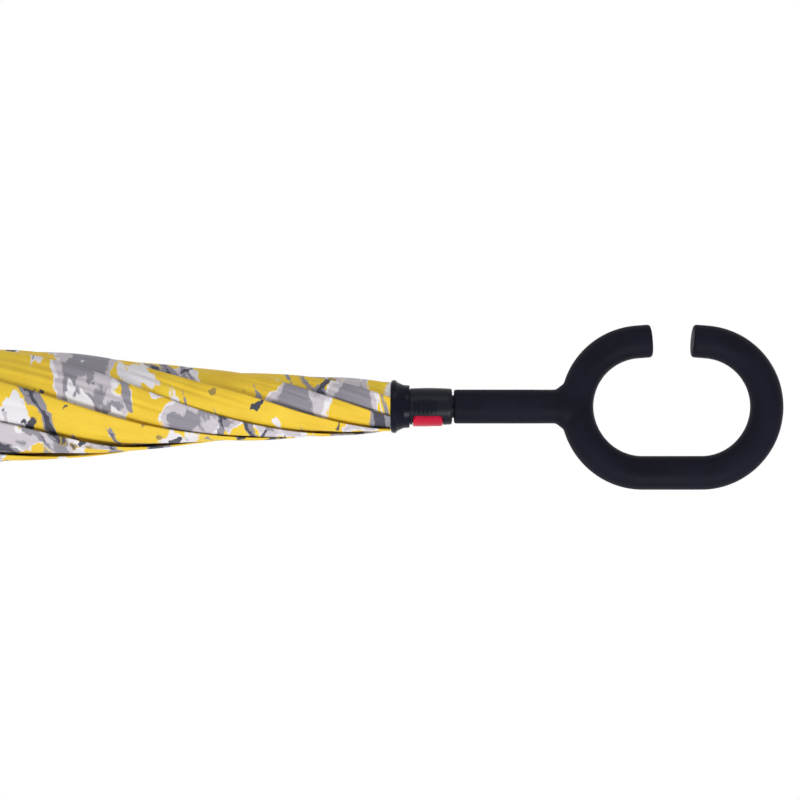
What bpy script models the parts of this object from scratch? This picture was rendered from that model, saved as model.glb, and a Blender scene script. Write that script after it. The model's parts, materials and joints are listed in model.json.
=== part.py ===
"""Inverted umbrella, folded and standing on its rib tips with the loop handle on top.

+Z runs along the shaft towards the handle, and the floor is Z = 0. The opening of the loop
handle faces -X. The runner slides down the shaft towards the crown to open the canopy.
"""

import math

import bmesh
import bpy
from mathutils import Matrix, Vector

MM = 0.001

# Numbers of repeated pieces and of facets
GORES = 8
ROUND_SIDES = 32
RUNNER_SIDES = 40
SMALL_SIDES = 12
GORE_STEP = 2 * math.pi / GORES

# Clearances
FIT_GAP = 0.3 * MM
SLIDE_GAP = 0.2 * MM
CUT_OVERRUN = 2.0 * MM

# Loop handle
LOOP_RADIUS = 34.0 * MM
LOOP_STRAIGHT = 30.0 * MM
LOOP_TUBE_RADIUS = 8.6 * MM
LOOP_MOUTH = 20.4 * MM
LOOP_MOUTH_SHIFT = 0.0 * MM
LOOP_END_CHAMFER = 1.0 * MM
LOOP_BEVEL_STEPS = 8
LOOP_ARC_STEPS = 16
STEM_RADIUS = 8.85 * MM
STEM_CHAMFER = 0.8 * MM
STEM_LENGTH = 55.6 * MM
STEM_BORE_DEPTH = 50.0 * MM
FLARE_REACH = 2.6 * MM
FLARE_LENGTH = 3.6 * MM

# Shaft and the sleeve between shaft and handle
SHAFT_RADIUS = 5.0 * MM
SHAFT_WALL = 0.7 * MM
FERRULE_RADIUS = 6.0 * MM
FERRULE_LENGTH = 24.0 * MM
FERRULE_SHOWN = 6.0 * MM
HANDLE_PIN_RADIUS = 1.2 * MM
HANDLE_PIN_RISE = 40.0 * MM

# Runner
NECK_GAP = 1.6 * MM
RUNNER_LENGTH = 21.8 * MM
RUNNER_RADIUS = 9.7 * MM
RUNNER_END_RADIUS = 9.4 * MM
RUNNER_CHAMFER = 0.8 * MM
RUNNER_SPIGOT = 5.6 * MM
RUNNER_SPIGOT_RADIUS = 8.9 * MM
GRIP_RIDGES = 6
GRIP_RIDGE_PITCH = 2.1 * MM
GRIP_RIDGE_RADIUS = 0.55 * MM
GRIP_RIDGE_LENGTH = 8.4 * MM
GRIP_RIDGE_LOW = 2.6 * MM
RUNNER_TURN = math.radians(-13.0)

# Release button and its latch plate
BUTTON_WIDTH = 13.5 * MM
BUTTON_LENGTH = 15.4 * MM
BUTTON_LOW = 1.5 * MM
BUTTON_FACE_RADIUS = 10.4 * MM
BUTTON_INNER_RADIUS = 8.3 * MM
BUTTON_CORNER = 2.2 * MM
BUTTON_EDGE = 0.5 * MM
BUTTON_TRAVEL = 1.5 * MM
POCKET_FLOOR_RADIUS = 6.4 * MM
PLATE_RADIUS = 7.2 * MM
PLATE_THICKNESS = 1.6 * MM
PLATE_TONGUE_WIDTH = 5.0 * MM
LEAF_SPAN = 7.0 * MM
LEAF_THICKNESS = 0.2 * MM
LEAF_HEIGHT = 1.2 * MM
LEAF_BOW = 0.25 * MM
LATCH_SLOT_WIDTH = 5.0 * MM
LATCH_SLOT_HEIGHT = 2.4 * MM

# Runner collar, fabric clamp and rib notch
COLLAR_LENGTH = 9.6 * MM
COLLAR_TOP_WALL = 1.9 * MM
COLLAR_RIM_RADIUS = 13.8 * MM
COLLAR_RIM_HEIGHT = 1.8 * MM
COLLAR_BAND = 1.2 * MM
COLLAR_WALL = 0.9 * MM
COLLAR_BORE_LENGTH = 5.4 * MM
CLAMP_RADIUS = 12.4 * MM
CLAMP_HEIGHT = 1.8 * MM
CLAMP_WALL = 1.6 * MM
NOTCH_RADIUS = 10.0 * MM
NOTCH_HEIGHT = 13.6 * MM
NOTCH_RISE = 9.9 * MM
NOTCH_SLOT = 3.6 * MM

# Frame: ribs, stretchers and crown
HINGE_RADIUS = 8.0 * MM
HINGE_WIRE_RADIUS = 0.5 * MM
EYE_RADIUS = 1.9 * MM
EYE_BORE = 0.75 * MM
EYE_WIDTH = 1.5 * MM
RIB_PIVOT_Z = 590.0 * MM
CROWN_PIVOT_Z = 40.0 * MM
RIB_SPLAY = math.radians(2.0)
RIB_RADIUS = 1.5 * MM
STRETCHER_LONGER = 18.6 * MM
RIB_TIP_LENGTH = 16.0 * MM
RIB_TIP_RADIUS = 2.3 * MM
BRACKET_LENGTH = 12.0 * MM
BRACKET_RADIUS = 1.9 * MM
BRACKET_CHEEK = 3.0 * MM
STRETCHER_WIDTH = 2.6 * MM
STRETCHER_THICKNESS = 1.2 * MM
STRETCHER_END_RADIUS = 1.6 * MM
STRETCHER_OFFSET = 2.8 * MM
RIVET_RADIUS = 1.3 * MM
RIVET_HEIGHT = 0.7 * MM
CROWN_RADIUS = 10.5 * MM
CROWN_HEIGHT = 12.0 * MM
CROWN_GROOVE_DEPTH = 5.0 * MM
CAP_RADIUS = 9.0 * MM
CAP_TIP_RADIUS = 5.5 * MM
CAP_FLOOR = 3.0 * MM
CAP_SOCKET = 8.0 * MM
STOP_RADIUS = 6.4 * MM
STOP_HEIGHT = 3.0 * MM
STOP_RISE = 31.5 * MM
OPEN_PIVOT_GAP = 45.0 * MM

# Folded canopy: shares of its length, shares of the hem's radius there, and each gore's wrap
CANOPY_HEM_Z = 20.6 * MM
CANOPY_HEM_RADIUS = 38.0 * MM
CANOPY_TOP_GAP = 0.4 * MM
CANOPY_STATION_SHARES = (
    (0.0, 0.355, 54.0),
    (0.082, 0.418, 76.0),
    (0.171, 0.505, 120.0),
    (0.260, 0.658, 170.0),
    (0.350, 0.758, 212.0),
    (0.515, 0.868, 236.0),
    (0.690, 0.932, 240.0),
    (0.860, 0.963, 240.0),
    (1.0, 1.0, 240.0),
)
CANOPY_RIB_COVER = 2.6 * MM
CANOPY_TWISTED_SHARE = 0.35
CANOPY_TWISTED_STEPS = 8
CANOPY_STRAIGHT_STEPS = 4
CANOPY_WRAP_STEPS = 12
CANOPY_CLOTH_MOST = 1.6 * MM
CANOPY_FILL_SHARE = 0.45

# Folded inner cloth between the stretchers
INNER_CLOTH_THICKNESS = 0.9 * MM
INNER_CLOTH_AZIMUTH_SHARE = 0.71
INNER_CLOTH_INNER_RADIUS = 6.9 * MM
INNER_CLOTH_LOW_RADIUS = 8.6 * MM
INNER_CLOTH_HIGH_RADIUS = 14.5 * MM
INNER_CLOTH_LOW_RISE = 12.0 * MM
INNER_CLOTH_JOINT_GAP = 17.3 * MM

# Heights worked out from the sizes above
NOTCH_TOP_Z = RIB_PIVOT_Z + NOTCH_RISE
RUNNER_LOW_Z = NOTCH_TOP_Z + FIT_GAP + RUNNER_SPIGOT
RUNNER_TOP_Z = RUNNER_LOW_Z + RUNNER_LENGTH
STEM_LOW_Z = RUNNER_TOP_Z + NECK_GAP
LOOP_BOTTOM_Z = STEM_LOW_Z + STEM_LENGTH + LOOP_TUBE_RADIUS
STEM_TOP_Z = LOOP_BOTTOM_Z
LOOP_LOW_CENTRE_Z = LOOP_BOTTOM_Z + LOOP_RADIUS
LOOP_HIGH_CENTRE_Z = LOOP_LOW_CENTRE_Z + LOOP_STRAIGHT
COLLAR_TOP_Z = RUNNER_LOW_Z - SLIDE_GAP
COLLAR_TOP_RADIUS = RUNNER_SPIGOT_RADIUS + FIT_GAP + COLLAR_TOP_WALL
COLLAR_LOW_Z = COLLAR_TOP_Z - COLLAR_LENGTH
CANOPY_TOP_Z = COLLAR_LOW_Z - CANOPY_TOP_GAP
CANOPY_LENGTH = CANOPY_TOP_Z - CANOPY_HEM_Z
OPEN_TRAVEL = RIB_PIVOT_Z - CROWN_PIVOT_Z - OPEN_PIVOT_GAP
RIB_JOINT_REACH = (RIB_PIVOT_Z - CROWN_PIVOT_Z - STRETCHER_LONGER) / 2
STRETCHER_SPAN = RIB_PIVOT_Z - CROWN_PIVOT_Z - RIB_JOINT_REACH
INNER_CLOTH_LENGTH = STRETCHER_SPAN - INNER_CLOTH_LOW_RISE - INNER_CLOTH_JOINT_GAP
CROWN_WIRE_RADIUS = math.hypot(HINGE_RADIUS, STRETCHER_OFFSET)
BUTTON_MID_Z = RUNNER_LOW_Z + BUTTON_LOW + BUTTON_LENGTH / 2
SHAFT_LOW_Z = CROWN_PIVOT_Z - CROWN_HEIGHT / 2 - CAP_SOCKET
SHAFT_TOP_Z = STEM_LOW_Z + STEM_BORE_DEPTH - FIT_GAP


def clear_scene():
    """Remove whatever the scene holds."""
    for obj in list(bpy.data.objects):
        bpy.data.objects.remove(obj, do_unlink=True)


def material(name, colour, roughness, metallic=0.0):
    """A Principled material of one colour."""
    made = bpy.data.materials.new(name)
    made.use_nodes = True
    shader = made.node_tree.nodes["Principled BSDF"]
    shader.inputs["Base Color"].default_value = (*colour, 1.0)
    shader.inputs["Roughness"].default_value = roughness
    shader.inputs["Metallic"].default_value = metallic
    return made


def finish(mesh_tools, name, finish_material, collection):
    """Turn a bmesh into an object with outward faces and the given material."""
    bmesh.ops.recalc_face_normals(mesh_tools, faces=mesh_tools.faces)
    mesh = bpy.data.meshes.new(name)
    mesh_tools.to_mesh(mesh)
    mesh_tools.free()
    mesh.materials.append(finish_material)
    mesh.shade_smooth()
    mesh.set_sharp_from_angle(angle=math.radians(35.0))
    obj = bpy.data.objects.new(name, mesh)
    collection.objects.link(obj)
    return obj


def turned(name, profile, finish_material, collection, sides=ROUND_SIDES):
    """Turn a profile of (radius, z) points, listed from top to bottom, about Z."""
    tools = bmesh.new()
    points = [tools.verts.new((radius, 0.0, z)) for radius, z in profile]
    for first, second in zip(points, points[1:]):
        tools.edges.new((first, second))
    mesh = bpy.data.meshes.new(name)
    tools.to_mesh(mesh)
    tools.free()
    obj = bpy.data.objects.new(name, mesh)
    collection.objects.link(obj)
    screw = obj.modifiers.new("turn", "SCREW")
    screw.steps = sides
    screw.render_steps = sides
    screw.use_merge_vertices = True
    screw.merge_threshold = 1e-5
    screw.use_normal_calculate = True
    return baked(obj, finish_material)


def baked(obj, finish_material):
    """Replace an object's mesh by its evaluated one, welded and with faces outwards."""
    graph = bpy.context.evaluated_depsgraph_get()
    mesh = bpy.data.meshes.new_from_object(obj.evaluated_get(graph))
    name = obj.name
    place = obj.matrix_world.copy()
    collection = obj.users_collection[0]
    bpy.data.objects.remove(obj, do_unlink=True)
    tools = bmesh.new()
    tools.from_mesh(mesh)
    bmesh.ops.remove_doubles(tools, verts=tools.verts, dist=1e-6)
    made = finish(tools, name, finish_material, collection)
    made.matrix_world = place
    return made


def ring_profile(inner, outer, low, high):
    """The closed profile of a plain tube."""
    return [(outer, high), (outer, low), (inner, low), (inner, high), (outer, high)]


def rod(name, start, end, radius, finish_material, collection, sides=SMALL_SIDES):
    """A straight round rod between two points."""
    start, end = Vector(start), Vector(end)
    tools = bmesh.new()
    bmesh.ops.create_cone(
        tools,
        cap_ends=True,
        segments=sides,
        radius1=radius,
        radius2=radius,
        depth=(end - start).length,
    )
    turn = (end - start).to_track_quat("Z", "Y").to_matrix().to_4x4()
    place = Matrix.Translation((start + end) / 2) @ turn
    bmesh.ops.transform(tools, matrix=place, verts=tools.verts)
    return finish(tools, name, finish_material, collection)


def block(name, size, place, finish_material, collection, edge=0.0):
    """A box of the given size, placed by a matrix, with its edges broken if asked."""
    tools = bmesh.new()
    bmesh.ops.create_cube(tools, size=1.0)
    bmesh.ops.scale(tools, vec=size, verts=tools.verts)
    if edge:
        bmesh.ops.bevel(
            tools, geom=tools.edges[:], offset=edge, segments=2, affect="EDGES", profile=0.5
        )
    bmesh.ops.transform(tools, matrix=place, verts=tools.verts)
    return finish(tools, name, finish_material, collection)


def combine(obj, others, operation, finish_material):
    """Boolean other objects into obj, and remove them."""
    for other in others:
        modifier = obj.modifiers.new(operation.lower(), "BOOLEAN")
        modifier.operation = operation
        modifier.object = other
    bpy.context.view_layer.update()
    made = baked(obj, finish_material)
    for other in others:
        bpy.data.objects.remove(other, do_unlink=True)
    return made


def lofted(name, sections, finish_material, collection):
    """Skin closed sections of equally many points, with flat ends."""
    tools = bmesh.new()
    rings = [[tools.verts.new(point) for point in section] for section in sections]
    count = len(rings[0])
    for low, high in zip(rings, rings[1:]):
        for i in range(count):
            j = (i + 1) % count
            tools.faces.new((low[i], low[j], high[j], high[i]))
    tools.faces.new(rings[0][::-1])
    tools.faces.new(rings[-1])
    return finish(tools, name, finish_material, collection)


def loop_path():
    """Points of the loop's centre line from the low end of its mouth round to the high end."""
    mouth_centre = (LOOP_LOW_CENTRE_Z + LOOP_HIGH_CENTRE_Z) / 2 + LOOP_MOUTH_SHIFT
    low_end = mouth_centre - LOOP_MOUTH / 2
    high_end = mouth_centre + LOOP_MOUTH / 2
    points = [(-LOOP_RADIUS, low_end), (-LOOP_RADIUS, low_end - LOOP_END_CHAMFER)]
    for step in range(LOOP_ARC_STEPS + 1):
        angle = math.pi + math.pi * step / LOOP_ARC_STEPS
        points.append(
            (LOOP_RADIUS * math.cos(angle), LOOP_LOW_CENTRE_Z + LOOP_RADIUS * math.sin(angle))
        )
    for step in range(LOOP_ARC_STEPS + 1):
        angle = math.pi * step / LOOP_ARC_STEPS
        points.append(
            (LOOP_RADIUS * math.cos(angle), LOOP_HIGH_CENTRE_Z + LOOP_RADIUS * math.sin(angle))
        )
    points += [(-LOOP_RADIUS, high_end + LOOP_END_CHAMFER), (-LOOP_RADIUS, high_end)]
    return points


def handle_loop(finish_material, collection):
    """The C-shaped grip as a bevelled curve made into a mesh."""
    points = loop_path()
    curve = bpy.data.curves.new("loop", "CURVE")
    curve.dimensions = "3D"
    curve.bevel_depth = LOOP_TUBE_RADIUS
    curve.bevel_resolution = LOOP_BEVEL_STEPS
    curve.use_fill_caps = True
    spline = curve.splines.new("POLY")
    spline.points.add(len(points) - 1)
    end_share = 1.0 - LOOP_END_CHAMFER / LOOP_TUBE_RADIUS
    for index, (x, z) in enumerate(points):
        spline.points[index].co = (x, 0.0, z, 1.0)
        spline.points[index].radius = end_share if index in (0, len(points) - 1) else 1.0
    obj = bpy.data.objects.new("loop", curve)
    collection.objects.link(obj)
    bpy.context.view_layer.update()
    return baked(obj, finish_material)


def oval(half_x, half_y, z, sides=ROUND_SIDES):
    """A level oval section."""
    turns = [2 * math.pi * i / sides for i in range(sides)]
    return [(half_x * math.cos(a), half_y * math.sin(a), z) for a in turns]


def make_handle(soft_touch, steel, black, collection):
    """The moulded loop handle on its stem, the cross pin and the sleeve below it."""
    loop = handle_loop(soft_touch, collection)
    flare_z = LOOP_BOTTOM_Z - LOOP_TUBE_RADIUS
    stem_depth = STEM_RADIUS - FIT_GAP
    sections = [
        oval(STEM_RADIUS - STEM_CHAMFER, STEM_RADIUS - STEM_CHAMFER, STEM_LOW_Z),
        oval(STEM_RADIUS, STEM_RADIUS, STEM_LOW_Z + STEM_CHAMFER),
        oval(STEM_RADIUS, STEM_RADIUS, flare_z - FLARE_LENGTH / 2),
        oval(STEM_RADIUS + FLARE_REACH / 3, STEM_RADIUS, flare_z),
        oval(STEM_RADIUS + FLARE_REACH, stem_depth, flare_z + FLARE_LENGTH / 2),
        oval(STEM_RADIUS + FLARE_REACH, stem_depth / 2, STEM_TOP_Z),
    ]
    grip = lofted("handle_grip", sections, soft_touch, collection)
    grip = combine(grip, [loop], "UNION", soft_touch)
    bore = rod(
        "bore",
        (0, 0, STEM_LOW_Z - CUT_OVERRUN),
        (0, 0, STEM_LOW_Z + STEM_BORE_DEPTH),
        SHAFT_RADIUS + FIT_GAP,
        soft_touch,
        collection,
        ROUND_SIDES,
    )
    counterbore = rod(
        "counterbore",
        (0, 0, STEM_LOW_Z - CUT_OVERRUN),
        (0, 0, STEM_LOW_Z + FERRULE_LENGTH - FERRULE_SHOWN + FIT_GAP),
        FERRULE_RADIUS + FIT_GAP,
        soft_touch,
        collection,
        ROUND_SIDES,
    )
    pin_z = STEM_LOW_Z + HANDLE_PIN_RISE
    pin_hole = rod(
        "pin_hole",
        (0, -STEM_RADIUS - CUT_OVERRUN, pin_z),
        (0, STEM_RADIUS + CUT_OVERRUN, pin_z),
        HANDLE_PIN_RADIUS + FIT_GAP,
        soft_touch,
        collection,
    )
    combine(grip, [bore, counterbore, pin_hole], "DIFFERENCE", soft_touch)
    pin_reach = STEM_RADIUS - FIT_GAP
    rod(
        "handle_pin",
        (0, -pin_reach, pin_z),
        (0, pin_reach, pin_z),
        HANDLE_PIN_RADIUS,
        steel,
        collection,
    )
    sleeve_low = STEM_LOW_Z - FERRULE_SHOWN
    turned(
        "neck_sleeve",
        ring_profile(
            SHAFT_RADIUS + SLIDE_GAP, FERRULE_RADIUS, sleeve_low, sleeve_low + FERRULE_LENGTH
        ),
        black,
        collection,
    )


def make_shaft(steel, black, collection):
    """The steel tube with its pin holes, and the stop ring above the crown."""
    tube = turned(
        "shaft",
        ring_profile(SHAFT_RADIUS - SHAFT_WALL, SHAFT_RADIUS, SHAFT_LOW_Z, SHAFT_TOP_Z),
        steel,
        collection,
    )
    holes = []
    for z in (STEM_LOW_Z + HANDLE_PIN_RISE, CROWN_PIVOT_Z - CROWN_HEIGHT / 4):
        holes.append(
            rod(
                "hole",
                (0, -SHAFT_RADIUS - CUT_OVERRUN, z),
                (0, SHAFT_RADIUS + CUT_OVERRUN, z),
                HANDLE_PIN_RADIUS + FIT_GAP,
                steel,
                collection,
            )
        )
    for z in (BUTTON_MID_Z, BUTTON_MID_Z - OPEN_TRAVEL):
        place = Matrix.Rotation(RUNNER_TURN, 4, "Z") @ Matrix.Translation((-SHAFT_RADIUS, 0, z))
        size = (SHAFT_RADIUS, LATCH_SLOT_WIDTH, LATCH_SLOT_HEIGHT)
        holes.append(block("latch_slot", size, place, steel, collection))
    combine(tube, holes, "DIFFERENCE", steel)
    stop_low = CROWN_PIVOT_Z + CROWN_HEIGHT / 2 + STOP_RISE
    turned(
        "open_stop_ring",
        ring_profile(SHAFT_RADIUS + SLIDE_GAP, STOP_RADIUS, stop_low, stop_low + STOP_HEIGHT),
        black,
        collection,
    )


def slot_cutters(count, width, inner, outer, low, high, shift, cutter_material, collection):
    """Radial slots for the eyes of the ribs or stretchers."""
    cutters = []
    for index in range(count):
        turn = Matrix.Rotation(index * GORE_STEP, 4, "Z")
        place = turn @ Matrix.Translation(((inner + outer) / 2, shift, (low + high) / 2))
        size = (outer - inner, width, high - low)
        cutters.append(block("slot", size, place, cutter_material, collection))
    return cutters


def make_crown(black, steel, collection):
    """The crown that carries the stretchers, its wire and pin, and the end cap."""
    low = CROWN_PIVOT_Z - CROWN_HEIGHT / 2
    high = CROWN_PIVOT_Z + CROWN_HEIGHT / 2
    crown = turned(
        "crown",
        ring_profile(SHAFT_RADIUS + SLIDE_GAP, CROWN_RADIUS, low, high),
        black,
        collection,
    )
    slot_inner = HINGE_RADIUS - EYE_RADIUS - FIT_GAP
    groove = turned(
        "groove",
        ring_profile(
            CROWN_WIRE_RADIUS - HINGE_WIRE_RADIUS - FIT_GAP,
            CROWN_WIRE_RADIUS + HINGE_WIRE_RADIUS + FIT_GAP,
            CROWN_PIVOT_Z - HINGE_WIRE_RADIUS - FIT_GAP,
            high + CUT_OVERRUN,
        ),
        black,
        collection,
    )
    cutters = slot_cutters(
        GORES,
        EYE_WIDTH + 2 * FIT_GAP,
        slot_inner,
        CROWN_RADIUS + CUT_OVERRUN,
        CROWN_PIVOT_Z - EYE_RADIUS - FIT_GAP,
        high + CUT_OVERRUN,
        STRETCHER_OFFSET,
        black,
        collection,
    )
    pin_z = CROWN_PIVOT_Z - CROWN_HEIGHT / 4
    pin_hole = rod(
        "pin_hole",
        (0, -CROWN_RADIUS - CUT_OVERRUN, pin_z),
        (0, CROWN_RADIUS + CUT_OVERRUN, pin_z),
        HANDLE_PIN_RADIUS + FIT_GAP,
        black,
        collection,
    )
    combine(crown, [groove, *cutters, pin_hole], "DIFFERENCE", black)
    make_hinge_wire("crown_wire", CROWN_WIRE_RADIUS, CROWN_PIVOT_Z, steel, collection)
    pin_reach = HINGE_RADIUS - EYE_RADIUS
    rod("crown_pin", (0, -pin_reach, pin_z), (0, pin_reach, pin_z), HANDLE_PIN_RADIUS, steel, collection)
    cap_top = low - FIT_GAP
    socket = SHAFT_RADIUS + SLIDE_GAP
    turned(
        "end_cap",
        [
            (CAP_RADIUS, cap_top),
            (CAP_RADIUS, cap_top * 2 / 3),
            (CAP_TIP_RADIUS, CAP_FLOOR / 3),
            (CAP_TIP_RADIUS - CAP_FLOOR / 3, 0.0),
            (0.0, 0.0),
            (0.0, SHAFT_LOW_Z - FIT_GAP),
            (socket, SHAFT_LOW_Z - FIT_GAP),
            (socket, cap_top),
            (CAP_RADIUS, cap_top),
        ],
        black,
        collection,
    )


def make_hinge_wire(name, ring_radius, z, steel, collection):
    """The wire ring that strings the eyes together."""
    bpy.ops.mesh.primitive_torus_add(
        major_segments=ROUND_SIDES,
        minor_segments=SMALL_SIDES // 2,
        major_radius=ring_radius,
        minor_radius=HINGE_WIRE_RADIUS,
        location=(0, 0, z),
    )
    wire = bpy.context.object
    wire.name = name
    wire.data.materials.append(steel)
    wire.data.shade_smooth()
    for held in list(wire.users_collection):
        held.objects.unlink(wire)
    collection.objects.link(wire)
    return wire


def rounded_tablet(name, grow, inner, outer, finish_material, collection):
    """The part of a ring behind a rectangle with round corners: the button or its pocket."""
    half = BUTTON_LENGTH / 2 + grow
    edge = BUTTON_EDGE if grow == 0 else 0
    profile = [
        (outer - edge, BUTTON_MID_Z + half),
        (outer, BUTTON_MID_Z + half - edge),
        (outer, BUTTON_MID_Z - half + edge),
        (outer - edge, BUTTON_MID_Z - half),
        (inner, BUTTON_MID_Z - half),
        (inner, BUTTON_MID_Z + half),
        (outer - edge, BUTTON_MID_Z + half),
    ]
    if not edge:
        profile = ring_profile(inner, outer, BUTTON_MID_Z - half, BUTTON_MID_Z + half)
    ring = turned(name, profile, finish_material, collection, RUNNER_SIDES)
    tools = bmesh.new()
    bmesh.ops.create_cube(tools, size=1.0)
    reach = outer + CUT_OVERRUN
    size = (reach, BUTTON_WIDTH + 2 * grow, 2 * half)
    bmesh.ops.scale(tools, vec=size, verts=tools.verts)
    corners = [e for e in tools.edges if abs(e.verts[0].co.x - e.verts[1].co.x) > reach / 2]
    bmesh.ops.bevel(
        tools, geom=corners, offset=BUTTON_CORNER, segments=3, affect="EDGES", profile=0.5
    )
    place = Matrix.Translation((reach / 2, 0, BUTTON_MID_Z))
    bmesh.ops.transform(tools, matrix=place, verts=tools.verts)
    window = finish(tools, "window", finish_material, collection)
    return combine(ring, [window], "INTERSECT", finish_material)


def long_disc(name, radius, thickness, low_x, high_x, finish_material, collection):
    """A level disc stretched along X, at the button's mid height."""
    half_turn = ROUND_SIDES // 2
    outline = []
    for centre, start in ((high_x, -math.pi / 2), (low_x, math.pi / 2)):
        for step in range(half_turn + 1):
            turn = start + math.pi * step / half_turn
            outline.append((centre + radius * math.cos(turn), radius * math.sin(turn)))
    levels = (BUTTON_MID_Z - thickness / 2, BUTTON_MID_Z + thickness / 2)
    sections = [[(x, y, z) for x, y in outline] for z in levels]
    return lofted(name, sections, finish_material, collection)


def make_runner(black, collection):
    """The sliding sleeve with its thumb ridges, button pocket and latch slot."""
    spigot_low = RUNNER_LOW_Z - RUNNER_SPIGOT
    counterbore = FERRULE_RADIUS + FIT_GAP
    counterbore_low = STEM_LOW_Z - FERRULE_SHOWN - FIT_GAP
    bore = SHAFT_RADIUS + SLIDE_GAP
    body = turned(
        "runner_body",
        [
            (RUNNER_END_RADIUS - RUNNER_CHAMFER, RUNNER_TOP_Z),
            (RUNNER_END_RADIUS, RUNNER_TOP_Z - RUNNER_CHAMFER),
            (RUNNER_RADIUS, RUNNER_TOP_Z - RUNNER_LENGTH / 2),
            (RUNNER_END_RADIUS, RUNNER_LOW_Z),
            (RUNNER_SPIGOT_RADIUS, RUNNER_LOW_Z),
            (RUNNER_SPIGOT_RADIUS, spigot_low),
            (bore, spigot_low),
            (bore, counterbore_low),
            (counterbore, counterbore_low),
            (counterbore, RUNNER_TOP_Z),
            (RUNNER_END_RADIUS - RUNNER_CHAMFER, RUNNER_TOP_Z),
        ],
        black,
        collection,
        RUNNER_SIDES,
    )
    ridges = [
        grip_ridge(side, index, black, collection)
        for side in (-1, 1)
        for index in range(GRIP_RIDGES)
    ]
    body = combine(body, ridges, "UNION", black)
    pocket = rounded_tablet(
        "pocket", FIT_GAP, POCKET_FLOOR_RADIUS, BUTTON_FACE_RADIUS + CUT_OVERRUN, black, collection
    )
    slot_height = PLATE_THICKNESS + 2 * FIT_GAP
    reach = BUTTON_TRAVEL / 2
    slot = long_disc(
        "slot", PLATE_RADIUS + FIT_GAP, slot_height, -reach, reach, black, collection
    )
    tongue = block(
        "tongue",
        (BUTTON_FACE_RADIUS, PLATE_TONGUE_WIDTH + 2 * FIT_GAP, slot_height),
        Matrix.Translation((BUTTON_FACE_RADIUS / 2, 0, BUTTON_MID_Z)),
        black,
        collection,
    )
    body = combine(body, [pocket, slot, tongue], "DIFFERENCE", black)
    body.rotation_euler.z = RUNNER_TURN


def grip_ridge(side, index, black, collection):
    """One thumb ridge, curved round the sleeve. The outer ridges are shorter, as in an oval."""
    steps = 4
    sides = 6
    z = RUNNER_LOW_Z + GRIP_RIDGE_LOW + index * GRIP_RIDGE_PITCH
    off_centre = 2 * index / (GRIP_RIDGES - 1) - 1
    reach = GRIP_RIDGE_LENGTH / 2 * math.sqrt(1 - off_centre**2 / 2)
    span = math.asin(reach / RUNNER_RADIUS)
    rings = []
    for step in range(steps + 1):
        turn = math.pi / 2 * side + span * (2 * step / steps - 1)
        ring = []
        for corner in range(sides):
            lean = 2 * math.pi * corner / sides
            radius = RUNNER_RADIUS - GRIP_RIDGE_RADIUS / 3 + GRIP_RIDGE_RADIUS * math.cos(lean)
            height = z + GRIP_RIDGE_RADIUS * math.sin(lean)
            ring.append((radius * math.cos(turn), radius * math.sin(turn), height))
        rings.append(ring)
    return lofted("ridge", rings, black, collection)


def make_button(red, steel, collection):
    """The release button, its latch plate round the shaft, and the leaf spring behind it."""
    button = rounded_tablet(
        "release_button", 0, BUTTON_INNER_RADIUS, BUTTON_FACE_RADIUS, red, collection
    )
    button.rotation_euler.z = RUNNER_TURN
    plate = long_disc(
        "latch_plate", PLATE_RADIUS, PLATE_THICKNESS, BUTTON_TRAVEL / 2, BUTTON_TRAVEL / 2 + FIT_GAP,
        steel, collection,
    )
    tongue_end = BUTTON_INNER_RADIUS - FIT_GAP - BUTTON_EDGE
    tongue_start = PLATE_RADIUS - PLATE_THICKNESS
    tongue = block(
        "tongue",
        (tongue_end - tongue_start, PLATE_TONGUE_WIDTH, PLATE_THICKNESS),
        Matrix.Translation(((tongue_end + tongue_start) / 2, 0, BUTTON_MID_Z)),
        steel,
        collection,
    )
    plate = combine(plate, [tongue], "UNION", steel)
    hole = long_disc(
        "hole", SHAFT_RADIUS + FIT_GAP, 2 * PLATE_THICKNESS, 0.0, BUTTON_TRAVEL, steel, collection
    )
    plate = combine(plate, [hole], "DIFFERENCE", steel)
    plate.rotation_euler.z = RUNNER_TURN
    back = BUTTON_TRAVEL / 2 - PLATE_RADIUS - LEAF_THICKNESS - SLIDE_GAP
    sections = []
    steps = 4
    for step in range(steps + 1):
        share = 2 * step / steps - 1
        x = back - LEAF_BOW * share**2
        y = LEAF_SPAN / 2 * share
        low, high = BUTTON_MID_Z - LEAF_HEIGHT / 2, BUTTON_MID_Z + LEAF_HEIGHT / 2
        front = x + LEAF_THICKNESS
        sections.append([(x, y, low), (front, y, low), (front, y, high), (x, y, high)])
    leaf = lofted("latch_spring", sections, steel, collection)
    leaf.rotation_euler.z = RUNNER_TURN


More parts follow.
